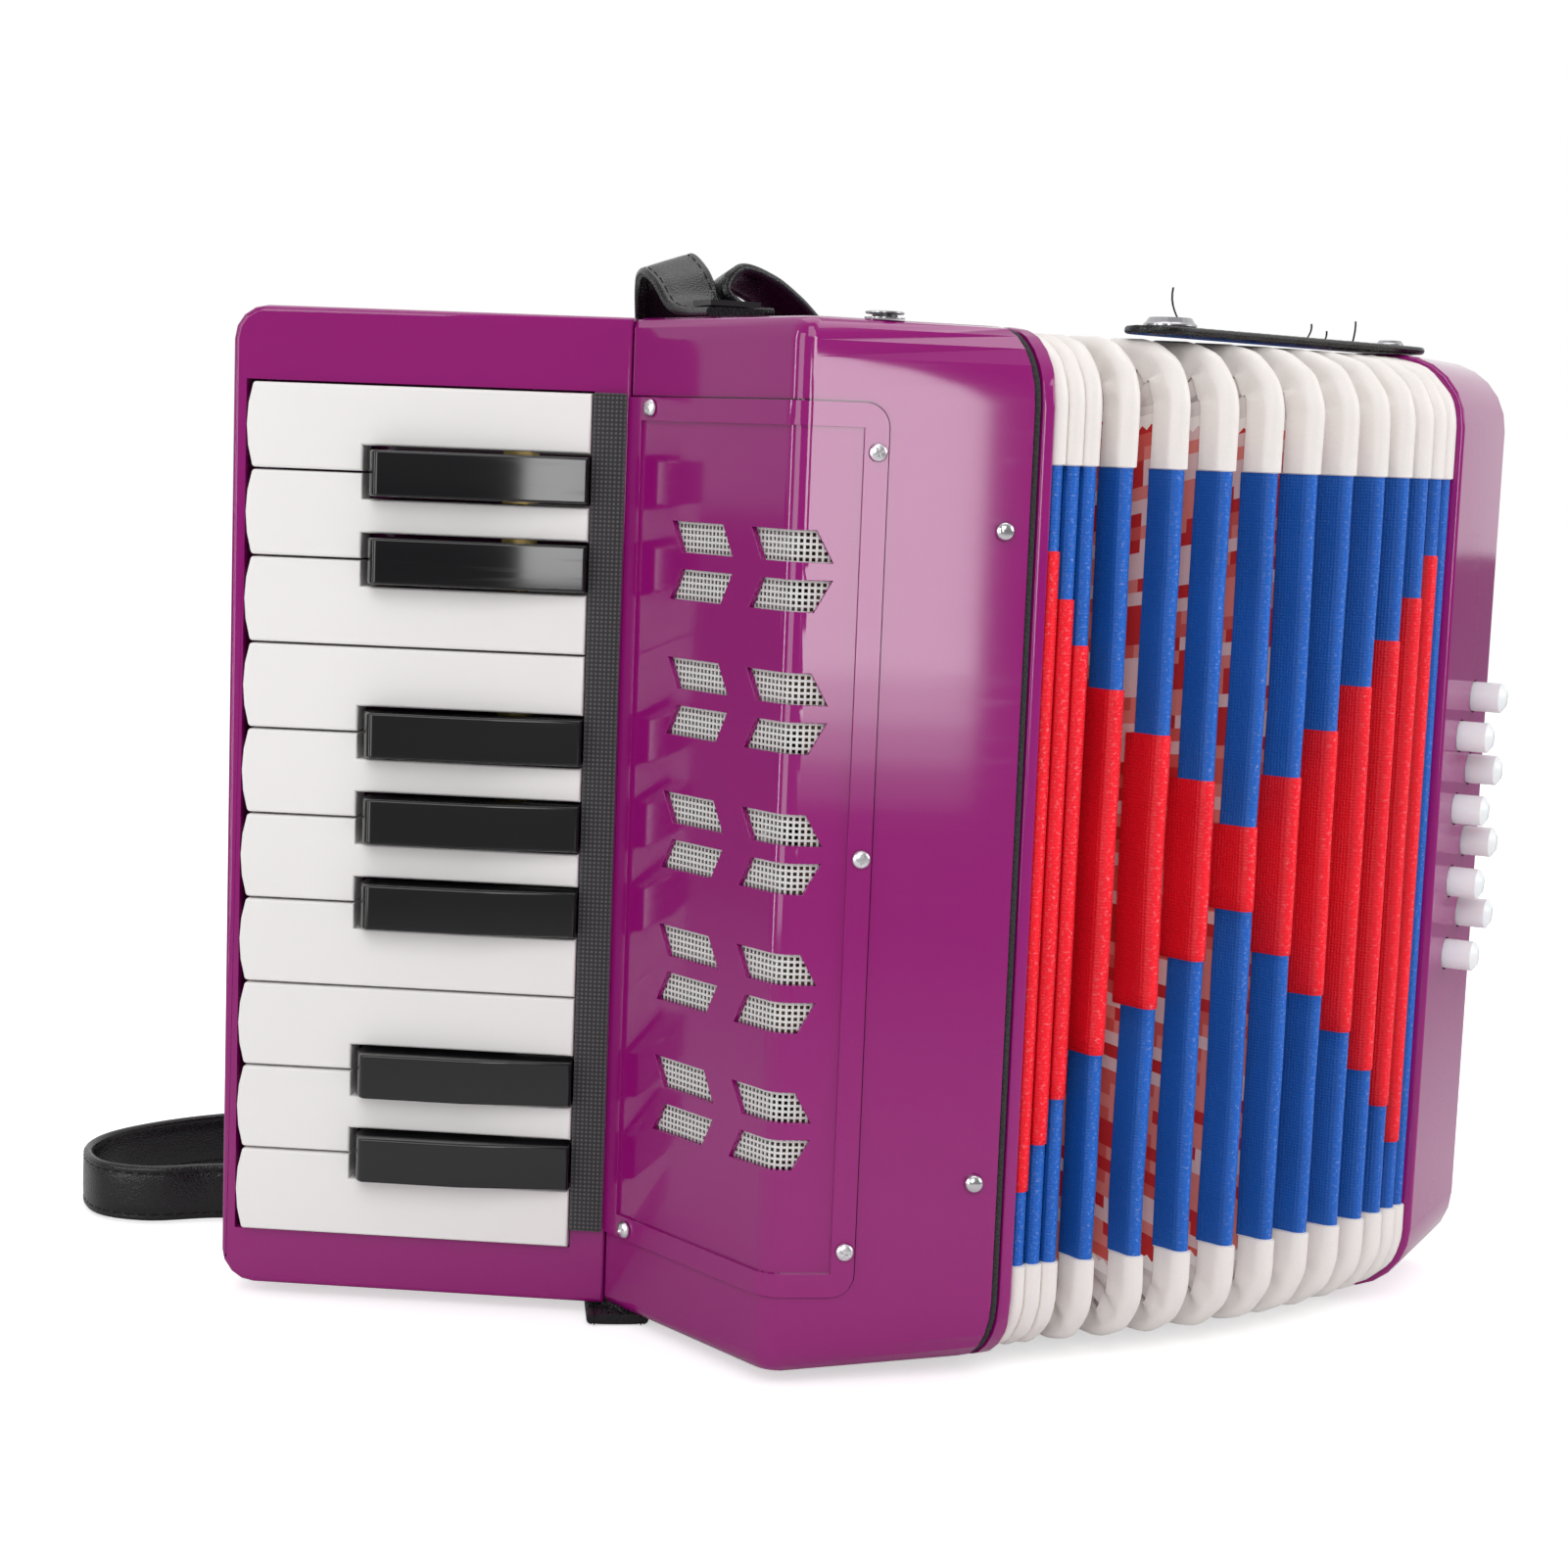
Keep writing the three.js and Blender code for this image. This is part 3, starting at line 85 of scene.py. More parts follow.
# Places in plan, in millimetres from the treble frame's front edge
RIDGE = Vector((-50.49, 16.49))
SEAM = Vector((-62.82, 72.55))
KEYBOARD_END = Vector((-138.17, 118.0))
KEYBOARD_ANGLE, GRILLE_ANGLE, CASE_FRONT_ANGLE = (math.radians(a) for a in (-31.1, -77.6, -20))
RIDGE_RADIUS = 6
BODY_HEIGHT = 220
FRAME_DEPTH = 105
FRAME_CORNER = 16.3
BASS_FRONT = Vector((117.6, 13.2))
FAN_ANGLE = math.radians(36.2)
FAN_START = 12.9
FOLD_SHARES = (0.118, 0.105, 0.118, 0.114, 0.106, 0.104, 0.099, 0.082, 0.07, 0.045, 0.039)

# The camera that took the photograph, in the same directions
CAMERA_PLACE = Vector((-303.26, -480.23, 193.78))
CAMERA_YAW, CAMERA_PITCH, CAMERA_ROLL = (math.radians(a) for a in (26.962, 7.011, 2.213))
FOCAL_SHARE = 2807.2 / 1601
SENSOR_WIDTH = 36


def in_plan(at, angle):
    """A place in plan with its own X axis at an angle."""
    return Matrix.Translation((*at, 0)) @ Matrix.Rotation(angle, 4, "Z")


frame_low, frame_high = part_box("treble_bellows_frame")
CASE = Matrix.Translation((frame_high.x, frame_low.y, frame_low.z)) @ Matrix.Scale(MM, 4)
CASE_FRONT = CASE @ in_plan(RIDGE, CASE_FRONT_ANGLE)
GRILLE = CASE @ in_plan(SEAM, GRILLE_ANGLE)
KEYBOARD = CASE @ in_plan(KEYBOARD_END, KEYBOARD_ANGLE)
BASS = CASE @ in_plan(BASS_FRONT, FAN_ANGLE)
BELLOWS_STRAP = BASS @ in_plan((6, 20), math.radians(-22.6))


# Settings that a maker would change

def colour_setting(name, description, *value):
    return bpy.props.FloatVectorProperty(name=name, description=description, subtype="COLOR", size=4,
                                         min=0, max=1, default=(*value, 1))


def length_setting(name, description, low, high, value):
    return bpy.props.FloatProperty(name=name, description=description, unit="LENGTH", min=low, max=high,
                                   default=value)


def number_setting(name, description, high, value, **kind):
    return bpy.props.FloatProperty(name=name, description=description, min=0, max=high, default=value,
                                   **kind)


class FinishSettings(bpy.types.PropertyGroup):
    case_purple: colour_setting("Case purple", "Colour of the moulded cases", 0.285, 0.006, 0.165)
    key_white: colour_setting("White keys", "Colour of the white keys", 0.88, 0.86, 0.85)
    key_black: colour_setting("Black keys", "Colour of the black keys", 0.004, 0.004, 0.005)
    tape_blue: colour_setting("Blue tape", "Colour of the blue tape on the folds", 0.008, 0.088, 0.39)
    tape_red: colour_setting("Red tape", "Colour of the red patches on the folds", 0.68, 0.005, 0.016)
    corner_white: colour_setting("Fold corners", "Colour of the cloth round the folds' corners",
                                 0.87, 0.82, 0.79)
    strap_black: colour_setting("Straps", "Colour of the straps' leatherette", 0.005, 0.005, 0.006)
    gloss: number_setting("Case roughness", "Roughness of the moulded cases", 1, 0.07, subtype="FACTOR")


class BellowsSettings(bpy.types.PropertyGroup):
    tape_reach: length_setting("Tape reach", "How far the tape goes down each side of a fold",
                               0.004, 0.014, 0.0068)
    patch_reach: length_setting("Patch reach", "How far a red patch goes down each side",
                                0.004, 0.014, 0.0086)
    gusset: length_setting("Corner cloth", "How far the corner cloth goes along the panels", 0, 0.03, 0.0195)
    lap: length_setting("Lap", "How far one cloth stands proud of the next", 0, 0.001, 0.0003)
    tip_radius: length_setting("Tip radius", "Rounding of a fold's outer edge", 0.0004, 0.003, 0.0015)
    card: length_setting("Card thickness", "Thickness of the folded card and cloth", 0.0002, 0.0012, 0.0005)
    gather: length_setting("Corner gather", "Depth of the creases at the folds' corners", 0, 0.004, 0.0026)


class StageSettings(bpy.types.PropertyGroup):
    floor_white: colour_setting("Floor", "Colour of the floor", 0.9, 0.9, 0.9)
    surround: number_setting("Surround light", "Strength of the light from all round", 2, 0.5)
    key_power: number_setting("Main lamp", "Power of the main soft lamp", 200, 16, unit="POWER")
    side_power: number_setting("Side lamp", "Power of the soft lamp at the side", 200, 9, unit="POWER")
    top_power: number_setting("Top lamp", "Power of the soft lamp overhead", 200, 7, unit="POWER")
    cards: number_setting("Cards", "Brightness of the cards that show in glossy surfaces", 5, 1)


# Materials

def add(tree, kind, inputs=None, **values):
    """A node with its settings and its inputs, which are values or other nodes' outputs."""
    node = tree.nodes.new(kind)
    for key, value in values.items():
        setattr(node, key, value)
    for key, value in (inputs or {}).items():
        if isinstance(value, bpy.types.NodeSocket):
            tree.links.new(value, node.inputs[key])
        else:
            node.inputs[key].default_value = value
    return node


def calc(tree, operation, *terms, clamp=False):
    node = add(tree, "ShaderNodeMath", dict(enumerate(terms)), operation=operation, use_clamp=clamp)
    return node.outputs[0]


def times(tree, a, b, clamp=False):
    return calc(tree, "MULTIPLY", a, b, clamp=clamp)


def scaled(tree, value, factor, plus, clamp=False):
    return calc(tree, "MULTIPLY_ADD", value, factor, plus, clamp=clamp)


def above(tree, value, floor):
    """What a value has over a floor, and nothing below it."""
    return calc(tree, "SUBTRACT", value, floor, clamp=True)


def mixed(tree, factor, a, b):
    return add(tree, "ShaderNodeMix", {0: factor, 6: a, 7: b}, data_type="RGBA").outputs[2]


def shaded(tree, colour, shade):
    return add(tree, "ShaderNodeVectorMath", {0: colour, 1: shade}, operation="MULTIPLY").outputs[0]


def cloud(tree, place, scale, detail, roughness=0.5):
    return add(tree, "ShaderNodeTexNoise",
               {"Vector": place, "Scale": scale, "Detail": detail, "Roughness": roughness}).outputs[0]


def stretched(tree, place, scale):
    return add(tree, "ShaderNodeMapping", {"Vector": place, "Scale": scale}).outputs[0]


def axes_of(tree, place):
    return add(tree, "ShaderNodeSeparateXYZ", {0: place}).outputs


def ramped(tree, value, low, high, first, last):
    return add(tree, "ShaderNodeMapRange", {0: value, 1: low, 2: high, 3: first, 4: last}).outputs[0]


def mould_wear(tree, given):
    """Slight unevenness of a moulded surface, with fine rubbing marks."""
    uneven = cloud(tree, given["Place"], 9.0, 2.0)
    marks = cloud(tree, stretched(tree, given["Place"], (40, 40, 900)), 1.0, 3.0)
    rough = calc(tree, "ADD", given["Roughness"], times(tree, above(tree, marks, 0.55), given["Wear"]))
    colour = shaded(tree, given["Colour"], scaled(tree, uneven, 0.1, 0.95))
    return {"Colour": colour, "Roughness": rough, "Height": uneven}


def leather_grain(tree, given):
    """Pressed leather grain: small rounded cells with creases between them, with painted shade in the
    creases.
    """
    cells = add(tree, "ShaderNodeTexVoronoi", {"Vector": given["Place"], "Scale": given["Scale"]},
                feature="DISTANCE_TO_EDGE").outputs[0]
    crease = times(tree, cells, 3.0, clamp=True)
    height = scaled(tree, cloud(tree, given["Place"], 60.0, 3.0), 0.5, crease)
    # Painted shade: darker where the grain is low, most in the creases, with random tone from the noise;
    # Contrast sets how much.
    crease_shade = times(tree, calc(tree, "SUBTRACT", 1.3, height), given["Contrast"])
    colour = shaded(tree, given["Colour"], calc(tree, "SUBTRACT", 1.0, crease_shade))
    return {"Colour": colour, "Roughness": scaled(tree, crease, -0.12, given["Roughness"]), "Height": height}


def ribbed_cloth(tree, given):
    """Coated bookcloth: fine ribs both ways, shiny specks, a painted highlight on the crest and painted
    glints on it.
    """
    split = axes_of(tree, given["Place"])
    across, along = (calc(tree, "SINE", times(tree, split[i], given["Ribs"])) for i in (0, 1))
    ribs = times(tree, calc(tree, "ADD", along, across), 0.22)
    specks = cloud(tree, given["Place"], 1300.0, 3.0, 0.7)
    shine = times(tree, above(tree, specks, 0.55), 4.0, clamp=True)
    crest = scaled(tree, calc(tree, "ABSOLUTE", split[1]), -600.0, 1.0, clamp=True)
    colour = shaded(tree, given["Colour"], scaled(tree, cloud(tree, given["Place"], 45.0, 3.0), 0.3, 0.85))
    # Painted highlight: the colour is lightened towards the crest. Painted glints: specks near the crest are
    # mixed towards pale blue-white.
    colour = shaded(tree, colour, scaled(tree, crest, 0.55, 1.0))
    painted_crest_glint = times(tree, times(tree, crest, shine), 0.5)
    return {"Colour": mixed(tree, painted_crest_glint, colour, (0.75, 0.78, 0.85, 1)),
            "Roughness": scaled(tree, shine, -0.2, given["Roughness"]),
            "Height": scaled(tree, specks, 1.6, ribs)}


def print_blocks(tree, given):
    """A plain gingham print: stripes of blocks in two directions, darkest where they cross."""
    split = axes_of(tree, given["Place"])
    stripes = []
    for axis, blocks in ((0, 355.0), (1, 330.0)):
        cell = calc(tree, "FLOOR", times(tree, split[axis], blocks))
        stripes.append(add(tree, "ShaderNodeTexWhiteNoise", {"W": cell}, noise_dimensions="1D").outputs[0])
    ramp = add(tree, "ShaderNodeValToRGB", {0: times(tree, calc(tree, "ADD", *stripes), 0.5)})
    ramp.color_ramp.interpolation = "CONSTANT"
    shades = ((0.0, (0.72, 0.69, 0.7, 1)), (0.3, (0.62, 0.09, 0.075, 1)), (0.5, (0.7, 0.2, 0.17, 1)),
              (0.66, (0.52, 0.012, 0.014, 1)), (0.8, (0.72, 0.5, 0.5, 1)))
    points = ramp.color_ramp.elements
    while len(points) < len(shades):
        points.new(0.5)
    for point, (place, colour) in zip(points, shades):
        point.position, point.color = place, colour
    return {"Colour": ramp.outputs[0]}


def dotted_cloth(tree, given):
    """Pressed non-woven cloth with rows of small diamonds."""
    split = axes_of(tree, given["Place"])
    waves = [calc(tree, "SINE", times(tree, scaled(tree, split[2], sign, split[0]), 3300.0))
             for sign in (1, -1)]
    dots = calc(tree, "GREATER_THAN", times(tree, *waves), 0.35)
    colour = mixed(tree, times(tree, dots, 0.8), given["Colour"], (0.11, 0.105, 0.11, 1))
    return {"Colour": colour, "Height": scaled(tree, dots, -1.0, cloud(tree, given["Place"], 1500.0, 3.0))}


def woven_net(tree, given):
    """An open plain weave: threads in two directions that pass over and under."""
    split = axes_of(tree, given["Place"])
    waves = [calc(tree, "ABSOLUTE", calc(tree, "SINE", times(tree, split[i], given["Threads"])))
             for i in (0, 1)]
    threads = [calc(tree, "GREATER_THAN", wave, 0.81) for wave in waves]
    return {"Alpha": calc(tree, "MAXIMUM", *threads), "Height": calc(tree, "MAXIMUM", *waves)}


# Each effect's inputs with their usual values, and its outputs; a socket's kind follows from its label
EFFECTS = {
    mould_wear: ({"Place": None, "Colour": None, "Roughness": 0.2, "Wear": 0.2},
                 ("Colour", "Roughness", "Height")),
    leather_grain: ({"Place": None, "Colour": None, "Roughness": 0.5, "Scale": 900.0, "Contrast": 0.35},
                    ("Colour", "Roughness", "Height")),
    ribbed_cloth: ({"Place": None, "Colour": None, "Roughness": 0.5, "Ribs": 9000.0},
                   ("Colour", "Roughness", "Height")),
    print_blocks: ({"Place": None}, ("Colour",)),
    dotted_cloth: ({"Place": None, "Colour": None}, ("Colour", "Height")),
    woven_net: ({"Place": None, "Threads": 2400.0}, ("Alpha", "Height")),
}
SOCKET_KINDS = {"Place": "NodeSocketVector", "Colour": "NodeSocketColor"}


def effect(build):
    """An effect's node group, made the first time that it is asked for."""
    name = build.__name__
    if name in bpy.data.node_groups:
        return bpy.data.node_groups[name]
    tree = bpy.data.node_groups.new(name, "ShaderNodeTree")
    inputs, outputs = EFFECTS[build]
    for way, labels in (("INPUT", inputs), ("OUTPUT", outputs)):
        for label in labels:
            kind = SOCKET_KINDS.get(label, "NodeSocketFloat")
            socket = tree.interface.new_socket(label, in_out=way, socket_type=kind)
            if way == "INPUT" and inputs[label] is not None:
                socket.default_value = inputs[label]
    given = tree.nodes.new("NodeGroupInput").outputs
    result = tree.nodes.new("NodeGroupOutput").inputs
    for label, socket in build(tree, given).items():
        tree.links.new(socket, result[label])
    return tree


def use_effect(tree, build, values):
    return add(tree, "ShaderNodeGroup", values, node_tree=effect(build)).outputs


def material(name, **plain):
    """A material with one Principled shader, whose plain values are set on its own sockets."""
    made = bpy.data.materials.new(name)
    made.use_nodes = True
    shader = made.node_tree.nodes["Principled BSDF"]
    for key, value in plain.items():
        shader.inputs[key.replace("_", " ").title().replace("Ior", "IOR")].default_value = value
    return made, made.node_tree, shader


def place_of(tree, source="Object"):
    return tree.nodes.new("ShaderNodeTexCoord").outputs[source]


def use_height(tree, shader, height, strength, distance):
    bump = add(tree, "ShaderNodeBump", {"Height": height, "Strength": strength, "Distance": distance})
    tree.links.new(bump.outputs[0], shader.inputs["Normal"])


def surface(name, build, values, bump=None, place="Object", turn=0, **plain):
    """A material that takes its colour, roughness, openings and relief from one effect."""
    made, tree, shader = material(name, **plain)
    at = place_of(tree, place)
    if turn:
        at = add(tree, "ShaderNodeMapping", {"Vector": at, "Rotation": (0, 0, turn)}).outputs[0]
    got = use_effect(tree, build, {"Place": at, **values})
    for label, socket in (("Colour", "Base Color"), ("Roughness", "Roughness"), ("Alpha", "Alpha")):
        if label in got:
            tree.links.new(got[label], shader.inputs[socket])
    if bump:
        use_height(tree, shader, got["Height"], *bump)
    return made


def plastic(name, colour, roughness, wear=0.2, bump=0.02, **plain):
    values = {"Colour": colour, "Roughness": roughness, "Wear": wear}
    return surface(name, mould_wear, values, (bump, 0.002), **plain)


def metal(name, colour, roughness):
    return surface(name, mould_wear, {"Colour": colour, "Roughness": roughness, "Wear": 0.5}, metallic=1.0)


def leather(name, colour, roughness, scale, bump, contrast, **plain):
    values = {"Colour": colour, "Roughness": roughness, "Scale": scale, "Contrast": contrast}
    return surface(name, leather_grain, values, (bump, 0.0004), **plain)


def tape(name, colour):
    values = {"Colour": colour, "Roughness": 0.4, "Ribs": 9000.0}
    return surface(name, ribbed_cloth, values, (0.5, 0.0003), "UV", specular_ior_level=0.24)


def corner_leather(name, colour):
    """Smooth white leathercloth with painted shade that greys it towards the bottom of the folds."""
    made = leather(name, colour, 0.45, 1500.0, 0.1, 0.03)
    tree = made.node_tree
    shader = tree.nodes["Principled BSDF"]
    unshaded_colour = shader.inputs["Base Color"].links[0].from_socket
    # Painted shade: the cloth greys towards the valley, away from the crest, with a ragged edge from noise.
    down = calc(tree, "ABSOLUTE", axes_of(tree, place_of(tree, "UV"))[1])
    spread = scaled(tree, cloud(tree, place_of(tree), 90.0, 3.0), 0.005, down)
    painted_valley_shade = ramped(tree, spread, 0.0075, 0.014, 0.0, 0.8)
    tree.links.new(mixed(tree, painted_valley_shade, unshaded_colour, (0.5, 0.42, 0.42, 1)), shader.inputs["Base Color"])
    creases = cloud(tree, stretched(tree, place_of(tree, "UV"), (260, 150, 1)), 1.0, 2.0)
    use_height(tree, shader, creases, 0.16, 0.0012)
    return made


def printed_panel(name, cloth):
    """The folds' card with its print, and the zigzag-cut end of the corner cloth over it."""
    made, tree, shader = material(name, roughness=0.6)
    place = place_of(tree, "UV")
    colour = use_effect(tree, print_blocks, {"Place": place})["Colour"]
    teeth = calc(tree, "PINGPONG", axes_of(tree, place)[1], 0.0011)
    way = add(tree, "ShaderNodeAttribute", attribute_name="corner_way").outputs["Fac"]
    gusset = bpy.context.scene.accordion_bellows.gusset
    covered = calc(tree, "LESS_THAN", calc(tree, "ADD", way, teeth), gusset)
    tree.links.new(mixed(tree, covered, colour, cloth), shader.inputs["Base Color"])
    return made


def wood(name):
    made, tree, shader = material(name, roughness=0.6)
    grain = cloud(tree, stretched(tree, place_of(tree), (60, 60, 6)), 4.0, 6.0)
    colour = mixed(tree, grain, (0.42, 0.24, 0.11, 1), (0.6, 0.4, 0.2, 1))
    tree.links.new(colour, shader.inputs["Base Color"])
    return made


def foam_rubber(name):
    made, tree, shader = material(name, roughness=0.85)
    cells = add(tree, "ShaderNodeTexVoronoi", {"Vector": place_of(tree), "Scale": 1600.0}).outputs[0]
    dark, light = (0.012, 0.012, 0.013, 1), (0.04, 0.04, 0.042, 1)
    tree.links.new(mixed(tree, cells, dark, light), shader.inputs["Base Color"])
    use_height(tree, shader, cells, 0.7, 0.0004)
    return made


def made_finish(name):
    scene = bpy.context.scene
    colours = scene.accordion_finish
    purple, ivory, ebony, blue, red, cloth, black = (
        tuple(getattr(colours, key))
        for key in ("case_purple", "key_white", "key_black", "tape_blue", "tape_red", "corner_white",
                    "strap_black"))
    makers = {
        "case_purple": lambda: plastic(name, purple, colours.gloss, 0.2, 0.015),
        "key_white": lambda: plastic(name, ivory, 0.28, 0.3),
        "key_black": lambda: plastic(name, ebony, 0.09, 0.3, 0.01),
        "button_white": lambda: plastic(name, (0.9, 0.89, 0.9, 1), 0.22, subsurface_weight=0.25),
        "anchor_black": lambda: plastic(name, black, 0.4),
        "tape_blue": lambda: tape(name, blue),
        "tape_red": lambda: tape(name, red),
        "corner_cloth": lambda: corner_leather(name, cloth),
        "printed_card": lambda: printed_panel(name, cloth),
        "strap_leather": lambda: leather(name, black, 0.3, 1300.0, 0.16, 0.4, specular_ior_level=0.4),
        "strap_thread": lambda: leather(name, (0.006, 0.006, 0.007, 1), 0.6, 4000.0, 0.3, 0.35,
                                        specular_ior_level=0.2),
        "felt_black": lambda: surface(name, dotted_cloth, {"Colour": (0.021, 0.02, 0.022, 1)}, (0.6, 0.0003),
                                      turn=-KEYBOARD_ANGLE, roughness=0.9, sheen_weight=0.3),
        "foam_black": lambda: foam_rubber(name),
        "net_white": lambda: surface(name, woven_net, {"Threads": 2480.0}, (0.8, 0.0004), "UV",
                                     roughness=0.6, base_color=(0.74, 0.73, 0.71, 1)),
        "chrome": lambda: metal(name, (0.62, 0.61, 0.63, 1), 0.16),
        "screw_steel": lambda: metal(name, (0.78, 0.77, 0.79, 1), 0.3),
        "snap_steel": lambda: metal(name, (0.42, 0.41, 0.43, 1), 0.22),
        # Dark steel for the screws' slots: painted shade in the crossed recess.
        "dark_slot": lambda: metal(name, (0.08, 0.08, 0.085, 1), 0.4),
        "brass": lambda: metal(name, (0.5, 0.36, 0.14, 1), 0.3),
        "board_wood": lambda: wood(name),
    }
    return makers[name]()


MATERIALS = {}


def finish(name):
    """A finish by name, made the first time that it is asked for."""
    if name not in MATERIALS:
        MATERIALS[name] = made_finish(name)
    return MATERIALS[name]


# Shapes

def clear_selection():
    if bpy.context.object and bpy.context.object.mode != "OBJECT":
        bpy.ops.object.mode_set(mode="OBJECT")
    bpy.ops.object.select_all(action="DESELECT")


def made_active(piece):
    clear_selection()
    piece.select_set(True)
    bpy.context.view_layer.objects.active = piece


def edited(piece, *steps):
    """Takes the whole of a piece through edit mode operators, each given as its name and its values."""
    made_active(piece)
    bpy.ops.object.mode_set(mode="EDIT")
    bpy.ops.mesh.select_all(action="SELECT")
    for name, values in steps:
        getattr(bpy.ops.mesh, name)(**values)
    bpy.ops.object.mode_set(mode="OBJECT")


def turn_outwards(piece):
    edited(piece, ("remove_doubles", {"threshold": 1e-6}), ("normals_make_consistent", {"inside": False}))


def apply_modifier(piece, kind, **values):
    made_active(piece)
    modifier = piece.modifiers.new(kind.lower(), kind)
    for key, value in values.items():
        setattr(modifier, key, value)
    bpy.ops.object.modifier_apply(modifier=modifier.name)


def cut(piece, cutter, operation="DIFFERENCE"):
    apply_modifier(piece, "BOOLEAN", operation=operation, object=cutter, solver="EXACT")


def smooth(piece, degrees=35):
    made_active(piece)
    bpy.ops.object.shade_smooth_by_angle(angle=math.radians(degrees))


def linked(name, data):
    made = bpy.data.objects.new(name, data)
    bpy.context.scene.collection.objects.link(made)
    return made


def copied(piece, name, matrix=Matrix()):
    made = linked(name, piece.data.copy())
    made.data.transform(matrix)
    return made


def piece_of(name, points, faces, finishes, picks=None):
    """A new mesh object from points in the row frame, with one finish or several."""
    mesh = bpy.data.meshes.new(name)
    mesh.from_pydata([tuple(p) for p in points], [], faces)
    for label in [finishes] if isinstance(finishes, str) else finishes:
        mesh.materials.append(finish(label))
    if picks:
        mesh.polygons.foreach_set("material_index", picks)
    return linked(name, mesh)


def settle(piece, body, nodes=()):
    """The piece rides on its body and stands for its nodes."""
    if nodes:
        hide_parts(*nodes)
    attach(piece, body)
    return piece


def refined(node, label, passes=(), carve=()):
    """A CAD node's own shape with sharp edges rounded: a pass has a test of an edge's ends and a width."""
    source = frame["nodes"][node]
    piece = linked(node + "_shell", source.data.copy())
    piece.data.materials.clear()
    piece.data.materials.append(finish(label))
    edited(piece, ("customdata_custom_splitnormals_clear", {}), ("remove_doubles", {"threshold": 2e-6}),
           ("dissolve_limited", {"angle_limit": math.radians(0.4)}))
    for cutter in carve:
        cut(piece, cutter)
    limit = math.radians(32)
    for chosen, width in passes:
        made_active(piece)
        bpy.ops.object.mode_set(mode="EDIT")
        bpy.ops.mesh.select_all(action="DESELECT")
        bpy.ops.mesh.select_mode(type="EDGE")
        shape = bmesh.from_edit_mesh(piece.data)
        for edge in shape.edges:
            sharp = len(edge.link_faces) == 2 and edge.calc_face_angle_signed(0) > limit
            edge.select = sharp and chosen(edge.verts[0].co, edge.verts[1].co)
        bmesh.update_edit_mesh(piece.data)
        if any(edge.select for edge in shape.edges):
            bpy.ops.mesh.bevel(offset=width * MM, segments=3, affect="EDGES", clamp_overlap=True)
        bpy.ops.object.mode_set(mode="OBJECT")
    smooth(piece)
    apply_modifier(piece, "WEIGHTED_NORMAL", keep_sharp=True, weight=90)
    return settle(piece, source["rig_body"], nodes=[node])


def block(matrix, low, high):
    """A box between two corners of a place."""
    clear_selection()
    bpy.ops.mesh.primitive_cube_add(size=1)
    made = bpy.context.object
    made.data.transform(matrix @ Matrix.Translation((low + high) / 2) @ Matrix.Diagonal((*(high - low), 1)))
    return made


def dress(label, *nodes):
    """CAD nodes that keep their own shape and get a finish."""
    for node in nodes:
        mesh = frame["nodes"][node].data
        mesh.materials.clear()
        mesh.materials.append(finish(label))


def ring_faces(rows, count, closed=True):
    faces = []
    for r in range(rows - 1):
        for i in range(count if closed else count - 1):
            j = (i + 1) % count
            faces.append((r * count + i, r * count + j, (r + 1) * count + j, (r + 1) * count + i))
    return faces


def skins(name, bundles, label, degrees):
    """One piece of closed skins: each is a run of rings of points, with both ends filled."""
    points, faces = [], []
    for rings in bundles:
        base, count, last = len(points), len(rings[0]), (len(rings) - 1) * len(rings[0])
        skin = ring_faces(len(rings), count) + [range(count), range(last, last + count)]
        faces += [tuple(base + i for i in face) for face in skin]
        points += [p for ring in rings for p in ring]
    piece = piece_of(name, points, faces, label)
    turn_outwards(piece)
    smooth(piece, degrees)
    return piece


# Studio

# Heights and brightness of the upright cards that the case front reflects
FRONT_CARDS = ((0.058, 0.074, 1.0), (0.074, 0.09, 3.0), (0.09, 0.108, 5.4), (0.108, 0.42, 8.0))
FRONT_CARD_PLACE = (-0.1637, -0.6)
FRONT_CARD_WIDTH = 0.14
# The other cards: place, what they face, size and brightness
RIDGE_SPOT, FRONT_SPOT, KEYS_SPOT = (-0.051, -0.096), (-0.02, -0.105), (-0.096, -0.003)
CARDS = (("ridge_band", (-0.58, -0.24, 0.23), RIDGE_SPOT, (0.2, 0.46), 3.2),
         ("ridge_line", (-0.52, 0.0, 0.23), RIDGE_SPOT, (0.035, 0.46), 9),
         ("slope_card", (-0.35, -0.568, 0.19), KEYS_SPOT, (0.08, 0.13), 8))
OBJECT_MIDDLE = Vector((0, 0, 0.11))


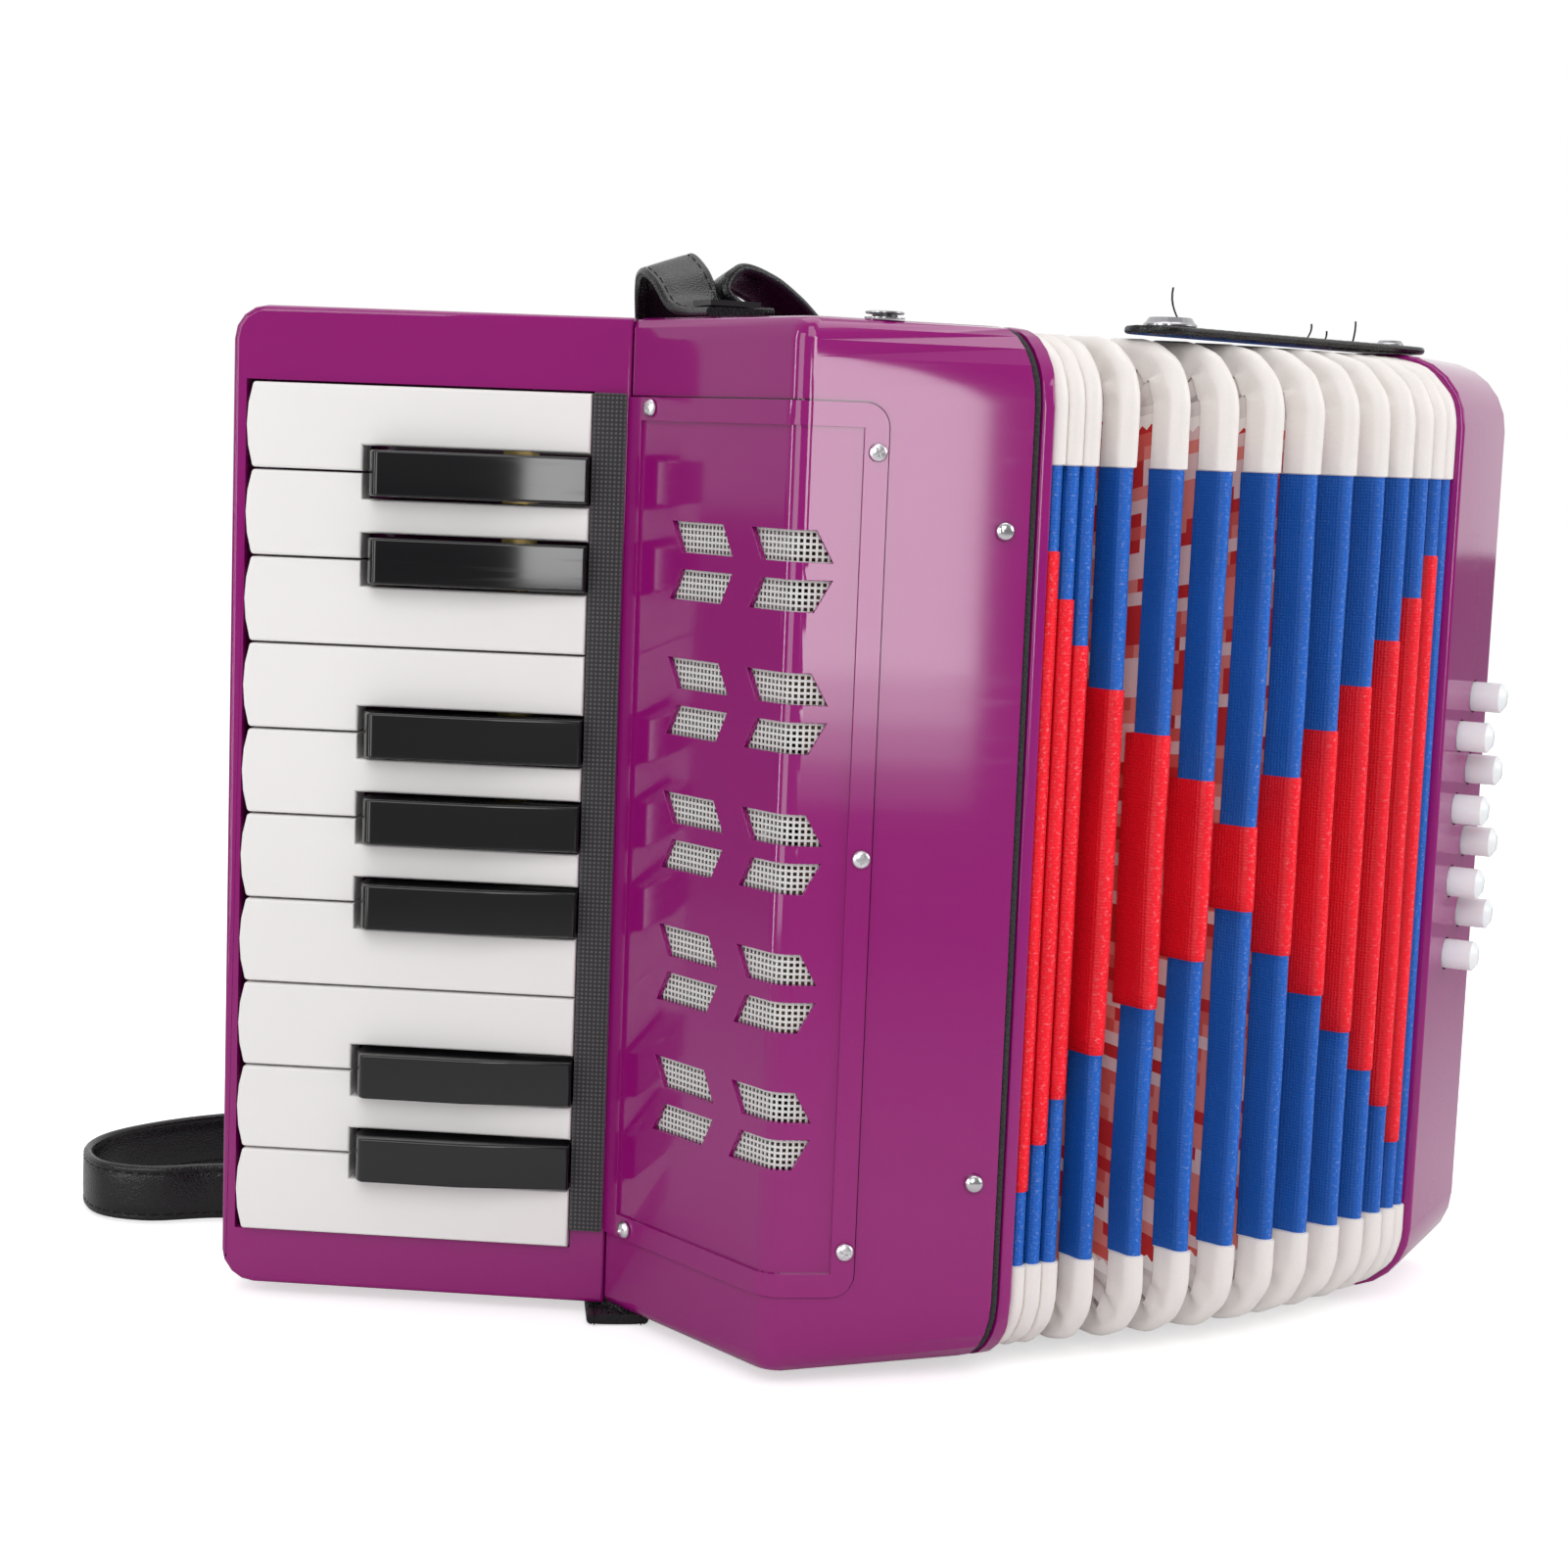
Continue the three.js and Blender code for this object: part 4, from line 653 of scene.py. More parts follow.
class StudioOperator(bpy.types.Operator):
    """Makes the camera at the photograph's place, the floor, the surround, three soft lamps and the cards"""
    bl_idname = "accordion.studio"
    bl_label = "Studio"

    def execute(self, context):
        look = context.scene.accordion_stage
        self.make_camera(context)
        self.make_floor(look)
        self.make_surround(context, look)
        for name, place, width, power in (("main_lamp", (-1.0, -1.5, 1.3), 1.3, look.key_power),
                                          ("side_lamp", (1.5, -1.0, 0.8), 1.0, look.side_power),
                                          ("top_lamp", (0.1, 0.2, 1.7), 1.2, look.top_power)):
            self.make_lamp(name, place, OBJECT_MIDDLE, (width, width), power)
        for card in CARDS:
            self.make_card(*card)
        shells = bpy.data.collections.new("reflecting_shells")
        for low, high, bright in FRONT_CARDS:
            card = self.make_card("front_window", (*FRONT_CARD_PLACE, (low + high) / 2), FRONT_SPOT,
                                  (FRONT_CARD_WIDTH, high - low), bright)
            card.light_linking.receiver_collection = shells
        context.scene.view_settings.view_transform = "Standard"
        return {"FINISHED"}

    def make_camera(self, context):
        yaw, pitch, roll = CAMERA_YAW, CAMERA_PITCH, CAMERA_ROLL
        ahead = Vector((math.sin(yaw) * math.cos(pitch), math.cos(yaw) * math.cos(pitch), -math.sin(pitch)))
        right = Vector((math.cos(yaw), -math.sin(yaw), 0))
        up = right.cross(ahead)
        across = right * math.cos(roll) + up * math.sin(roll)
        over = up * math.cos(roll) - right * math.sin(roll)
        lens = bpy.data.cameras.new("photo_camera")
        lens.sensor_width = SENSOR_WIDTH
        lens.lens = SENSOR_WIDTH * FOCAL_SHARE
        camera = linked("photo_camera", lens)
        turned = Matrix((across, over, -ahead)).transposed().to_4x4()
        camera.matrix_world = Matrix.Translation(CASE @ CAMERA_PLACE) @ turned
        context.scene.camera = camera

    def make_floor(self, look):
        """Pale paper that looks white where nothing shades it."""
        clear_selection()
        bpy.ops.mesh.primitive_plane_add(size=12, location=(0, 0, -0.0002))
        floor = bpy.context.object
        floor.name = "floor"
        made, tree, shader = material("floor_paper", roughness=0.9)
        path = tree.nodes.new("ShaderNodeLightPath").outputs
        far = add(tree, "ShaderNodeVectorMath", {0: place_of(tree)}, operation="LENGTH").outputs["Value"]
        shade = ramped(tree, far, 0.25, 0.65, 0.85, 0.3)
        paper = mixed(tree, path["Is Glossy Ray"], tuple(look.floor_white), shade)
        tree.links.new(paper, shader.inputs["Base Color"])
        glow = add(tree, "ShaderNodeEmission", {"Strength": times(tree, path["Is Camera Ray"], 0.56)})
        both = add(tree, "ShaderNodeAddShader", {0: shader.outputs[0], 1: glow.outputs[0]})
        tree.links.new(both.outputs[0], tree.nodes["Material Output"].inputs["Surface"])
        floor.data.materials.append(made)

    def make_surround(self, context, look):
        """White behind the object for the eye and for reflections, and greyer on the camera's side."""
        world = bpy.data.worlds.new("surround")
        context.scene.world = world
        world.use_nodes = True
        tree = world.node_tree
        back = tree.nodes["Background"].inputs
        path = tree.nodes.new("ShaderNodeLightPath").outputs
        ahead = (math.sin(CAMERA_YAW), math.cos(CAMERA_YAW), 0.35)
        behind = add(tree, "ShaderNodeVectorMath", {0: place_of(tree, "Generated"), 1: ahead},
                     operation="DOT_PRODUCT").outputs["Value"]
        bright = ramped(tree, behind, -0.35, 0.45, 0.3, 1.0)
        lit = add(tree, "ShaderNodeMix", {0: path["Is Glossy Ray"], 2: look.surround, 3: bright}).outputs[0]
        back["Color"].default_value = (1, 1, 1, 1)
        tree.links.new(calc(tree, "MAXIMUM", lit, path["Is Camera Ray"]), back["Strength"])

    def make_lamp(self, name, place, target, size, power):
        lamp = bpy.data.lights.new(name, "AREA")
        lamp.shape, lamp.size, lamp.size_y, lamp.energy = "RECTANGLE", *size, power
        holder = linked(name, lamp)
        turned = (target - Vector(place)).to_track_quat("-Z", "Y").to_matrix().to_4x4()
        holder.matrix_world = Matrix.Translation(place) @ turned
        return holder

    def make_card(self, name, place, target, size, bright):
        """An upright lamp that shows in glossy surfaces alone and adds no other light."""
        power = bright * size[0] * size[1] * math.pi * bpy.context.scene.accordion_stage.cards
        card = self.make_lamp(name, place, Vector((*target, place[2])), size, power)
        card.visible_camera = card.visible_diffuse = card.visible_transmission = False
        return card


# Shells of the two sides

SHELL_ENDS = ("case_shell", "cover_shell", "frame_shell", "corner_filler_1", "corner_filler_2")
COVER_WRAP = 18.5
COVER_CORNERS = ((17.2, -1), (203, 1))
COVER_CORNER_RADIUS = 5
FITTING_GAP = 0.3
ON_FACE = 0.05


def both_ends(matrix, test):
    """A test of an edge: both its ends pass, in the directions of a place."""
    back = matrix.inverted()
    return lambda a, b: test(back @ a) and test(back @ b)


def in_housing_front(p):
    return abs(p.y) < 0.1 and (p.x < 3 or p.z < 3 or p.z > BODY_HEIGHT - 3)


def on_frame_rim(p):
    """An outer edge of the bellows frame, at its front or 3 mm behind it."""
    corner = min(p.y, FRAME_DEPTH - p.y) + min(p.z, BODY_HEIGHT - p.z) < FRAME_CORNER * 0.62
    outside = p.y < 1 or p.y > FRAME_DEPTH - 1 or p.z < 1 or p.z > BODY_HEIGHT - 1 or corner
    return outside and (abs(p.x) < ON_FACE or abs(p.x + 3) < ON_FACE)


def on_cover(low, high):
    """A test of an edge: both its ends stand out of the case by a height between low and high."""
    walls = [wall.inverted() for wall in (CASE_FRONT, GRILLE)]
    return lambda a, b: all(low < -min((wall @ p).y for wall in walls) < high for p in (a, b))


class ShellsOperator(bpy.types.Operator):
    """Rounds the edges of the moulded shells and gives them their glossy plastic"""
    bl_idname = "accordion.shells"
    bl_label = "Shells"

    def execute(self, context):
        refined("keyboard_housing", "case_purple", [(both_ends(KEYBOARD, in_housing_front), 1.3)])
        refined("treble_case", "case_purple")
        cutters = [self.corner_filler("corner_cutter", z, up, True) for z, up in COVER_CORNERS]
        passes = [(on_cover(0.55, 10), 0.5), (on_cover(0.02, 0.3), 0.25)]
        refined("grille_cover", "case_purple", passes, cutters)
        for cutter in cutters:
            bpy.data.objects.remove(cutter)
        for i, (z, up) in enumerate(COVER_CORNERS, 1):
            filler = self.corner_filler(f"cover_corner_filler_{i}", z, up, False)
            settle(filler, "treble_side")
        refined("bass_case", "case_purple", [(both_ends(BASS, lambda p: abs(p.x) < ON_FACE), 0.8)])
        refined("treble_bellows_frame", "case_purple", [(both_ends(CASE, on_frame_rim), 0.8)])
        shells = bpy.data.collections["reflecting_shells"]
        for piece in bpy.context.scene.objects:
            if piece.name.endswith(SHELL_ENDS):
                shells.objects.link(piece)
        return {"FINISHED"}

    def corner_filler(self, name, height, up, cutter):
        """The space that the cover's rounded corner leaves: level with the case front, or a deeper cutter."""
        past, gap, near, deep = (2, 0, -2, 4) if cutter else (FITTING_GAP, FITTING_GAP, 0, 1.2)
        edge, level = COVER_WRAP + past, height + past * up
        middle = COVER_WRAP - COVER_CORNER_RADIUS
        centre = height - COVER_CORNER_RADIUS * up
        swing = COVER_CORNER_RADIUS + gap
        outline = [(edge, level), (middle, level)]
        for i in range(9):
            angle = math.pi / 2 * (1 - i / 8)
            outline.append((middle + swing * math.cos(angle), centre + swing * math.sin(angle) * up))
        outline.append((edge, centre))
        rings = [[CASE_FRONT @ Vector((x, y, z)) for x, z in outline] for y in (near, deep)]
        return skins(name, [rings], "case_purple", 35)


# Keys

def on_white_top(a, b):
    """A white key's raised edges, and its front corners."""
    a, b = (KEYBOARD.inverted() @ p for p in (a, b))
    front = a.x < 7 and b.x < 7 and abs(a.z - b.z) < 0.1 and min(a.y, b.y) < -2
    return front or all(abs(p.y + 2.2) < ON_FACE for p in (a, b))


class KeysOperator(bpy.types.Operator):
    """Rounds the keys' top edges and gives them their plastic"""
    bl_idname = "accordion.keys"
    bl_label = "Keys"

    def execute(self, context):
        passes = {"white": (on_white_top, 0.6), "black": (both_ends(KEYBOARD, lambda p: p.y < -4.5), 0.55)}
        for node in nodes_of("white_key_", "black_key_"):
            shade = node.split("_")[0]
            refined(node, "key_" + shade, [passes[shade]])
        return {"FINISHED"}


def nodes_of(*starts):
    return [node for node in frame["nodes"] if node.startswith(starts)]


# Bellows

COVERS = ("blue", "red", "corner")
CLOTHS = ("tape_blue", "tape_red", "corner_cloth", "printed_card")


class BellowsOperator(bpy.types.Operator):
    """Makes each fold of the bellows as its own creased and taped sheet"""
    bl_idname = "accordion.bellows"
    bl_label = "Bellows"

    # Half heights of the red patches, from the treble side on, about their shared middle
    patches = (67.7, 57.8, 48.2, 39, 29.4, 19.5, 9.2, 19.6, 29.5, 39, 49, 58.5, 68, 0)
    patch_middle = 106.5
    # How far the corner cloth reaches along the upright sides from below and above, and along the level ones
    cloth_below, cloth_above, cloth_beside = 22.5, 28, 26
    peak_inset, valley_inset = 2, 18
    depth = valley_inset - peak_inset
    least_radius = 5
    top_swell = 1.2
    # Steps up each side of the body, along its top and bottom, and round a corner; borders stand a lap apart
    tall_steps, deep_steps, arc_steps, border_lap, border_clear = 44, 14, 12, 0.12, 1.2
    # Rows of a fold: a flank, half a crest, and the last; the printed card shows on the first of each flank
    flank_rows, crest_rows, panel_rows = 8, 4, 3
    last_row = (flank_rows + crest_rows) * 2 - 2
    # A shut fold's flanks and crest: where they meet, and the crest's give
    shut_folds, shut_gap, flank_share, crest_give = 3, 0.3, 0.06, 0.017
    # One fold's cloth starts this far along the weave from the last one's, in metres
    cloth_step = 0.613

    def execute(self, context):
        shut = [self.shut_gap + (FAN_START - self.shut_gap * 2) * i / self.shut_folds
                for i in range(self.shut_folds + 1)]
        for i in range(self.shut_folds):
            self.shut_fold(i, shut[i], shut[i + 1])
        begun = 0
        for i, share in enumerate(FOLD_SHARES, self.shut_folds):
            piece = self.fold(i, lambda t, a=begun, b=share: fan_plane(a + b * t), share * FRAME_DEPTH)
            settle_fold(piece)
            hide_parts("bellows_fan_folds")
            begun += share
        return {"FINISHED"}

    def shut_fold(self, index, low, high):
        """One squeezed fold in three parts: a flank on each side of the crest."""
        def plane(t):
            return Matrix.Translation((low + (high - low) * t, 0, 0))

        first, middle, last = ((index + part) / self.shut_folds for part in (0, 0.5, 1))
        t0, t1 = eased(middle - self.crest_give), eased(middle + self.crest_give)
        edge, far_edge = self.flank_share, 1 - self.flank_share
        near_t, far_t = (t0 + (t1 - t0) * t for t in (edge, far_edge))
        near_share, far_share = (t * t * (3 - 2 * t) for t in (near_t, far_t))
        turn, end = self.flank_rows - 1, self.last_row
        parts = (("near", 0, turn, 0, edge, first, near_share),
                 ("crest", turn, end - turn, 0, 1, middle - self.crest_give, middle + self.crest_give),
                 ("far", end - turn, end, far_edge, 1, far_share, last))
        for name, row, last_row, start, stop, share, last_share in parts:
            piece = self.fold(index, plane, high - low, f"_{name}", (row, last_row))
            settle_fold(piece)
            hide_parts("bellows_shut_folds")

    def side_marks(self, length, fills, borders):
        """Places along one straight side: evenly spaced, with a close pair at each border of two cloths."""
        low, high = FRAME_CORNER, length - FRAME_CORNER
        pairs = [border + step for border in borders for step in (-self.border_lap, self.border_lap)]
        even = [low + (high - low) * i / fills for i in range(1, fills)]
        clear = [at for at in even if all(abs(at - border) > self.border_clear for border in borders)]
        return sorted([low, high] + pairs + clear)

    def columns(self, patch):
        """Places round the outline: each straight side's own, and steps round each corner."""
        borders = [self.cloth_below, BODY_HEIGHT - self.cloth_above]
        if patch:
            borders += [self.patch_middle - patch, self.patch_middle + patch]
        tall = self.side_marks(BODY_HEIGHT, self.tall_steps, borders)
        beside = [self.cloth_beside, FRAME_DEPTH - self.cloth_beside]
        deep = self.side_marks(FRAME_DEPTH, self.deep_steps, beside)
        around = []
        for side, marks, corner in (("back", tall, 1), ("top", deep[::-1], 2), ("front", tall[::-1], 3),
                                    ("bottom", deep, 0)):
            around += [(side, mark) for mark in marks]
            around += [("arc", corner, i / self.arc_steps) for i in range(1, self.arc_steps)]
        return around

    def spot(self, column, inset):
        """The depth and height of a column at an inset; straight parts keep their place along the side."""
        radius = max(FRAME_CORNER - inset, self.least_radius)
        kind = column[0]
        low, far, top = inset + radius, FRAME_DEPTH - inset - radius, BODY_HEIGHT - inset - radius
        if kind == "arc":
            corner, share = column[1], column[2]
            cy, cz = ((far, low), (far, top), (low, top), (low, low))[corner]
            angle = math.pi / 2 * (corner - 1 + share)
            return cy + radius * math.cos(angle), cz + radius * math.sin(angle)
        straight = column[1] - FRAME_CORNER
        if kind in ("back", "front"):
            z = low + (top - low) * straight / (BODY_HEIGHT - 2 * FRAME_CORNER)
            return (FRAME_DEPTH - inset if kind == "back" else inset), z
        y = low + (far - low) * straight / (FRAME_DEPTH - 2 * FRAME_CORNER)
        return y, (BODY_HEIGHT - inset if kind == "top" else inset)

    def cover(self, column, patch):
        """What covers a column: corner cloth, a red patch or blue tape."""
        kind, place = column[:2]
        if kind in ("top", "bottom"):
            return "corner" if min(place, FRAME_DEPTH - place) < self.cloth_beside else "blue"
        if kind == "arc" or place < self.cloth_below or place > BODY_HEIGHT - self.cloth_above:
            return "corner"
        return "red" if patch and abs(place - self.patch_middle) < patch else "blue"

    def corner_way(self, column):
        """How far a column is from the body's nearest corner."""
        if column[0] == "arc":
            return 0
        end = BODY_HEIGHT if column[0] in ("back", "front") else FRAME_DEPTH
        return min(column[1], end - column[1]) * MM

    def profile(self, cover, half_width, shut=False):
        """Down, across and the way to the crest for one side of a fold: across runs from 0 to 1."""
        look = bpy.context.scene.accordion_bellows
        radius, lap, depth = look.tip_radius / MM, look.lap / MM, self.depth
        reach, lift = {"blue": (look.tape_reach, lap), "red": (look.patch_reach, lap * 1.9),
                       "corner": (look.tape_reach * 0.86, lap * 2.9)}[cover]
        reach /= MM
        tip = min(0.8, radius / half_width)
        quarter = radius * math.pi / 2
        step = self.border_lap
        flank = [(depth, 0), (depth * 0.84, 0), (depth * 0.66, 0), (reach + step, 0), (reach - step, lift),
                 (reach * 0.72, lift), (reach * 0.46, lift), (radius, lift)]
        found = []
        for down, raised in flank:
            way = (down - radius) / (depth - radius)
            across = max((1 - way ** 1.7) * (1 - tip) - raised / half_width, 0.004 * (depth - down))
            if shut:
                across = self.flank_share * 2 * (1 - way)
            found.append((down, across, down - radius + quarter))
        for i in range(1, self.crest_rows + 1):
            angle = math.pi / 2 * i / self.crest_rows
            found.append((radius * (1 - math.sin(angle)) - lift * math.sin(angle),
                          1 - tip * math.cos(angle) - lift / half_width * math.cos(angle),
                          quarter - radius * angle))
        return found

    def fold(self, index, plane, front_width, part="", span=None):
        """A fold's cloth in rows round the outline, from valley over crest to valley; span picks the rows."""
        patch = self.patches[index]
        around = self.columns(patch)
        count = len(around)
        covers = [self.cover(column, patch) for column in around]
        halves = {cover: self.profile(cover, front_width / 2, bool(span)) for cover in set(covers)}
        first_row, last_row = span or (0, self.last_row)
        lengths = [0]
        for a, b in zip(around, around[1:] + around[:1]):
            lengths.append(lengths[-1] + math.dist(self.spot(a, 2), self.spot(b, 2)))
        points, uvs = [], []
        for r in range(first_row, last_row + 1):
            side = -1 if r > self.last_row // 2 else 1
            k = self.last_row - r if side < 0 else r
            for column, cover, length in zip(around, covers, lengths):
                down, across, to_crest = halves[cover][k]
                still = bool(span) and k < self.flank_rows
                share, y, z = self.cloth_point(index, column, length, down, across, side, front_width, still)
                points.append(CASE @ plane(min(max(share, 0), 1)) @ Vector((0, y, z)))
                uvs.append((length * MM + index * self.cloth_step, to_crest * MM * side))
        picks = []
        for r in range(first_row, last_row):
            on_panel = r < self.panel_rows or r >= self.last_row - self.panel_rows
            for i in range(count):
                after = (i + 1) % count
                pick = max(COVERS.index(covers[i]), COVERS.index(covers[after]))
                if on_panel:
                    pick = 2 if "arc" in (around[i][0], around[after][0]) else 3
                picks.append(pick)
        faces = ring_faces(last_row - first_row + 1, count)
        piece = piece_of(f"bellows_fold_{index + 1}{part}", points, faces, CLOTHS, picks)
        layer = piece.data.uv_layers.new(name="cloth")
        for polygon in piece.data.polygons:
            wraps = any(w % count == count - 1 for w in polygon.vertices)
            for loop, vertex in zip(polygon.loop_indices, polygon.vertices):
                u, v = uvs[vertex]
                layer.data[loop].uv = (u + lengths[-1] * MM if wraps and vertex % count == 0 else u, v)
        way = piece.data.attributes.new("corner_way", "FLOAT", "POINT")
        ways = [self.corner_way(column) for column in around]
        way.data.foreach_set("value", ways * (last_row - first_row + 1))
        if not span:
            thickness = bpy.context.scene.accordion_bellows.card
            apply_modifier(piece, "SOLIDIFY", thickness=thickness, offset=-1)
        smooth(piece, 50)
        return piece

    def cloth_point(self, index, column, length, down, across, side, front_width, still):
        """Share of the way between the valleys, depth and height, with the cloth's waves and pleats."""
        depth = self.depth
        y, z = self.spot(column, self.peak_inset + down)
        wave = noise.noise(Vector((index * 7.3, length / 38, down / 30)))
        fine = noise.noise(Vector((index * 3.1, length / 11, down / 9)))
        stir = (wave * 0.085 + fine * 0.02) * min(1, (depth - down) / 4) * min(1, across * 2.3) / 2
        share = 0.5 - side * (1 - across) / 2 + (0 if still else stir)
        if column[0] == "arc":
            gather = bpy.context.scene.accordion_bellows.gather / MM
            pleat = math.sin(column[2] * 15 + index * 1.7 + down * 0.35) * math.sin(column[2] * math.pi)
            valley = min(1, down / depth * 1.6) * min(1, (depth - down) / 3)
            share += 0 if still else side * pleat * valley * gather * 0.45 / front_width
            inward = pleat * min(1, down / 6) * gather * 0.6
            away = (Vector((y, z)) - Vector((FRAME_DEPTH / 2, BODY_HEIGHT / 2))).normalized()
            y, z = y - away.x * inward, z - away.y * inward
        if column[0] == "top":
            z += self.top_swell * math.sin(math.pi * column[1] / FRAME_DEPTH) ** 2 * (1 - down / depth)
        return share, y, z


def fan_plane(share):
    """Where a fold's outline stands at a share of the way round the fan, in the case's millimetres."""
    start = Vector((FAN_START, 0))
    chord = BASS_FRONT - start
    left = Vector((-chord.y, chord.x)).normalized()
    pole = start + chord / 2 + left * chord.length / 2 / math.tan(FAN_ANGLE / 2)
    return in_plan(pole, FAN_ANGLE * share) @ Matrix.Translation((*(start - pole), 0))


def eased(share):
    """The place along a blend at which its weight is share: the inverse of t * t * (3 - 2 * t)."""
    return 0.5 - math.sin(math.asin(1 - 2 * share) / 3)


def settle_fold(piece):
    """Bakes a fold's place into its own mesh."""
    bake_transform(piece)


# Felt, net and gasket

class TrimOperator(bpy.types.Operator):
    """Makes the felt behind the keys, the woven net behind the grille and the foam gasket"""
    bl_idname = "accordion.trim"
    bl_label = "Felt, net and gasket"

    # The net's depth behind the cover's face, its ends along the grille and the case front, and its heights
    net_out, net_start, net_wrap, net_low, net_high, net_steps = -1.5, 5.2, 13.3, 22.4, 197.8, 36
    # The gasket's section: places from the frame's front, and how far in from its outline
    gasket_section = ((-4.9, 0.9), (-4.7, 0.45), (-4.1, 0.25), (-3.5, 0.45), (-3.3, 0.9), (-3.3, 4),
                      (-4.9, 4))
    corner_steps, tall_steps, deep_steps = 10, 24, 12

    def execute(self, context):
        self.make_felt()
        self.make_net()
        self.make_gasket()
        return {"FINISHED"}

    def make_felt(self):
        corners = [KEYBOARD.inverted() @ v.co for v in frame["nodes"]["key_felt"].data.vertices]
        low, high = (Vector(end(p[i] for p in corners) for i in range(3)) for end in (min, max))
        piece = block(KEYBOARD, low, high)
        piece.name = "felt_strip"
        piece.data.materials.append(finish("felt_black"))
        apply_modifier(piece, "BEVEL", width=0.0004, segments=2)
        smooth(piece)
        settle(piece, "treble_side", ["key_felt"])

    def make_net(self):
        path = wrapped_path(self.net_start, self.net_wrap, self.net_out)
        tall = self.net_high - self.net_low
        points, uvs = [], []
        run = 0
        for i, p in enumerate(path):
            run += (p - path[i - 1]).length if i else 0
            for k in range(self.net_steps + 1):
                z = self.net_low + tall * k / self.net_steps
                points.append(CASE @ Vector((p.x, p.y, z)))
                uvs.append((run * MM, z * MM))
        faces = ring_faces(len(path), self.net_steps + 1, closed=False)
        piece = piece_of("grille_net", points, faces, "net_white")
        layer = piece.data.uv_layers.new(name="cloth")
        for loop in piece.data.loops:
            layer.data[loop.index].uv = uvs[loop.vertex_index]
        turn_outwards(piece)
        apply_modifier(piece, "SOLIDIFY", thickness=0.0003, offset=0)
        smooth(piece)
        settle(piece, "treble_side", ["grille_mesh"])

    def make_gasket(self):
        points = [CASE @ Vector((x, *p)) for x, inset in self.gasket_section for p in self.outline(inset)]
        rows = len(self.gasket_section)
        faces = [tuple(v % len(points) for v in face) for face in ring_faces(rows + 1, len(points) // rows)]
        piece = piece_of("foam_gasket", points, faces, "foam_black")
        turn_outwards(piece)
        smooth(piece, 50)
        settle(piece, "treble_side", ["treble_gasket"])

    def outline(self, inset):
        """The frame's outline moved in by inset, in depth and height."""
        radius, far, top = FRAME_CORNER - inset, FRAME_DEPTH - FRAME_CORNER, BODY_HEIGHT - FRAME_CORNER
        centres = [Vector(p) for p in ((far, FRAME_CORNER), (far, top), (FRAME_CORNER, top),
                                       (FRAME_CORNER, FRAME_CORNER))]
        points = []
        for corner, centre in enumerate(centres):
            for i in range(self.corner_steps + 1):
                angle = math.pi / 2 * (corner - 1 + i / self.corner_steps)
                points.append(centre + Vector((math.cos(angle), math.sin(angle))) * radius)
            steps = self.deep_steps if corner % 2 else self.tall_steps
            begin, end = points[-1], centres[(corner + 1) % 4] + points[-1] - centre
            points += [begin.lerp(end, i / steps) for i in range(1, steps)]
        return points


def wrapped_path(start, wrap, out):
    """Plan points along the grille face, round the ridge and onto the case front, at a depth off the wall."""
    along_grille, along_front = (Vector((math.cos(angle), math.sin(angle)))
                                 for angle in (GRILLE_ANGLE, CASE_FRONT_ANGLE))
    out_grille, out_front = (Vector((along.y, -along.x)) for along in (along_grille, along_front))
    reach = RIDGE_RADIUS * math.tan((CASE_FRONT_ANGLE - GRILLE_ANGLE) / 2)
    bend, leave = RIDGE - along_grille * reach, RIDGE + along_front * reach
    centre = bend - out_grille * RIDGE_RADIUS
    begin, end = SEAM + along_grille * start, RIDGE + along_front * wrap
    points = [begin.lerp(bend, i / 16) + out_grille * out for i in range(16)]
    for i in range(9):
        points.append(centre + out_grille.lerp(out_front, i / 8).normalized() * (RIDGE_RADIUS + out))
    return points + [leave.lerp(end, i / 4) + out_front * out for i in range(1, 5)]


# Straps

LEVEL, UPRIGHT = (1, 0, 0), (0, 0, 1)
SHOULDER_ROUTE = (
    ((-44, 61, 221.7), LEVEL), ((-44, 71, 221.8), LEVEL), ((-45.3, 79, 224), (0.99, 0, 0.1)),
    ((-46, 86, 230.2), (0.96, 0, 0.26)), ((-46, 93, 233), (0.94, 0, 0.32)),
    ((-43, 102, 230), (0.97, 0, 0.2)), ((-39.6, 108.4, 216), LEVEL), ((-39.6, 108.6, 180), LEVEL),
    ((-41, 109.5, 110), LEVEL),
    ((-47, 114, 50), (1, 0, 0.1)), ((-62, 128, 17), (0.9, 0, 0.4)), ((-82, 149, 8), (0.4, 0, 0.9)),
    ((-104, 169, 4.3), UPRIGHT), ((-124, 176.5, 4.3), UPRIGHT), ((-140, 179.5, 4.3), UPRIGHT),
    ((-149, 188, 4.3), UPRIGHT), ((-149.5, 202, 4.3), UPRIGHT), ((-142, 214, 4.3), UPRIGHT),
    ((-126, 222, 4.3), UPRIGHT), ((-106, 225, 4.3), UPRIGHT), ((-78, 221, 4.3), UPRIGHT),
    ((-54, 200, 4.4), (0.2, 0, 1)), ((-42, 166, 3), (0.8, 0, 0.5)), ((-42, 130, -0.6), LEVEL),
    ((-48, 104, -1.6), LEVEL), ((-56, 82, -1.7), LEVEL), ((-62, 66, -1.7), LEVEL),
)
CURL_ROUTE = (
    ((-27, 82, 222.6), (0, -1, 0.1)), ((-34, 82, 222.9), (0.1, -1, 0.15)),
    ((-38.8, 82.5, 226.4), (0.1, -1, 0.3)), ((-35, 84, 230.8), (0.2, -1, 0.4)),
    ((-27, 86, 229.2), (0.4, -0.9, 0.4)),
    ((-19, 89, 225.4), (0.5, -0.8, 0.3)), ((-13, 92, 222.3), (0.6, -0.8, 0.1)),
)


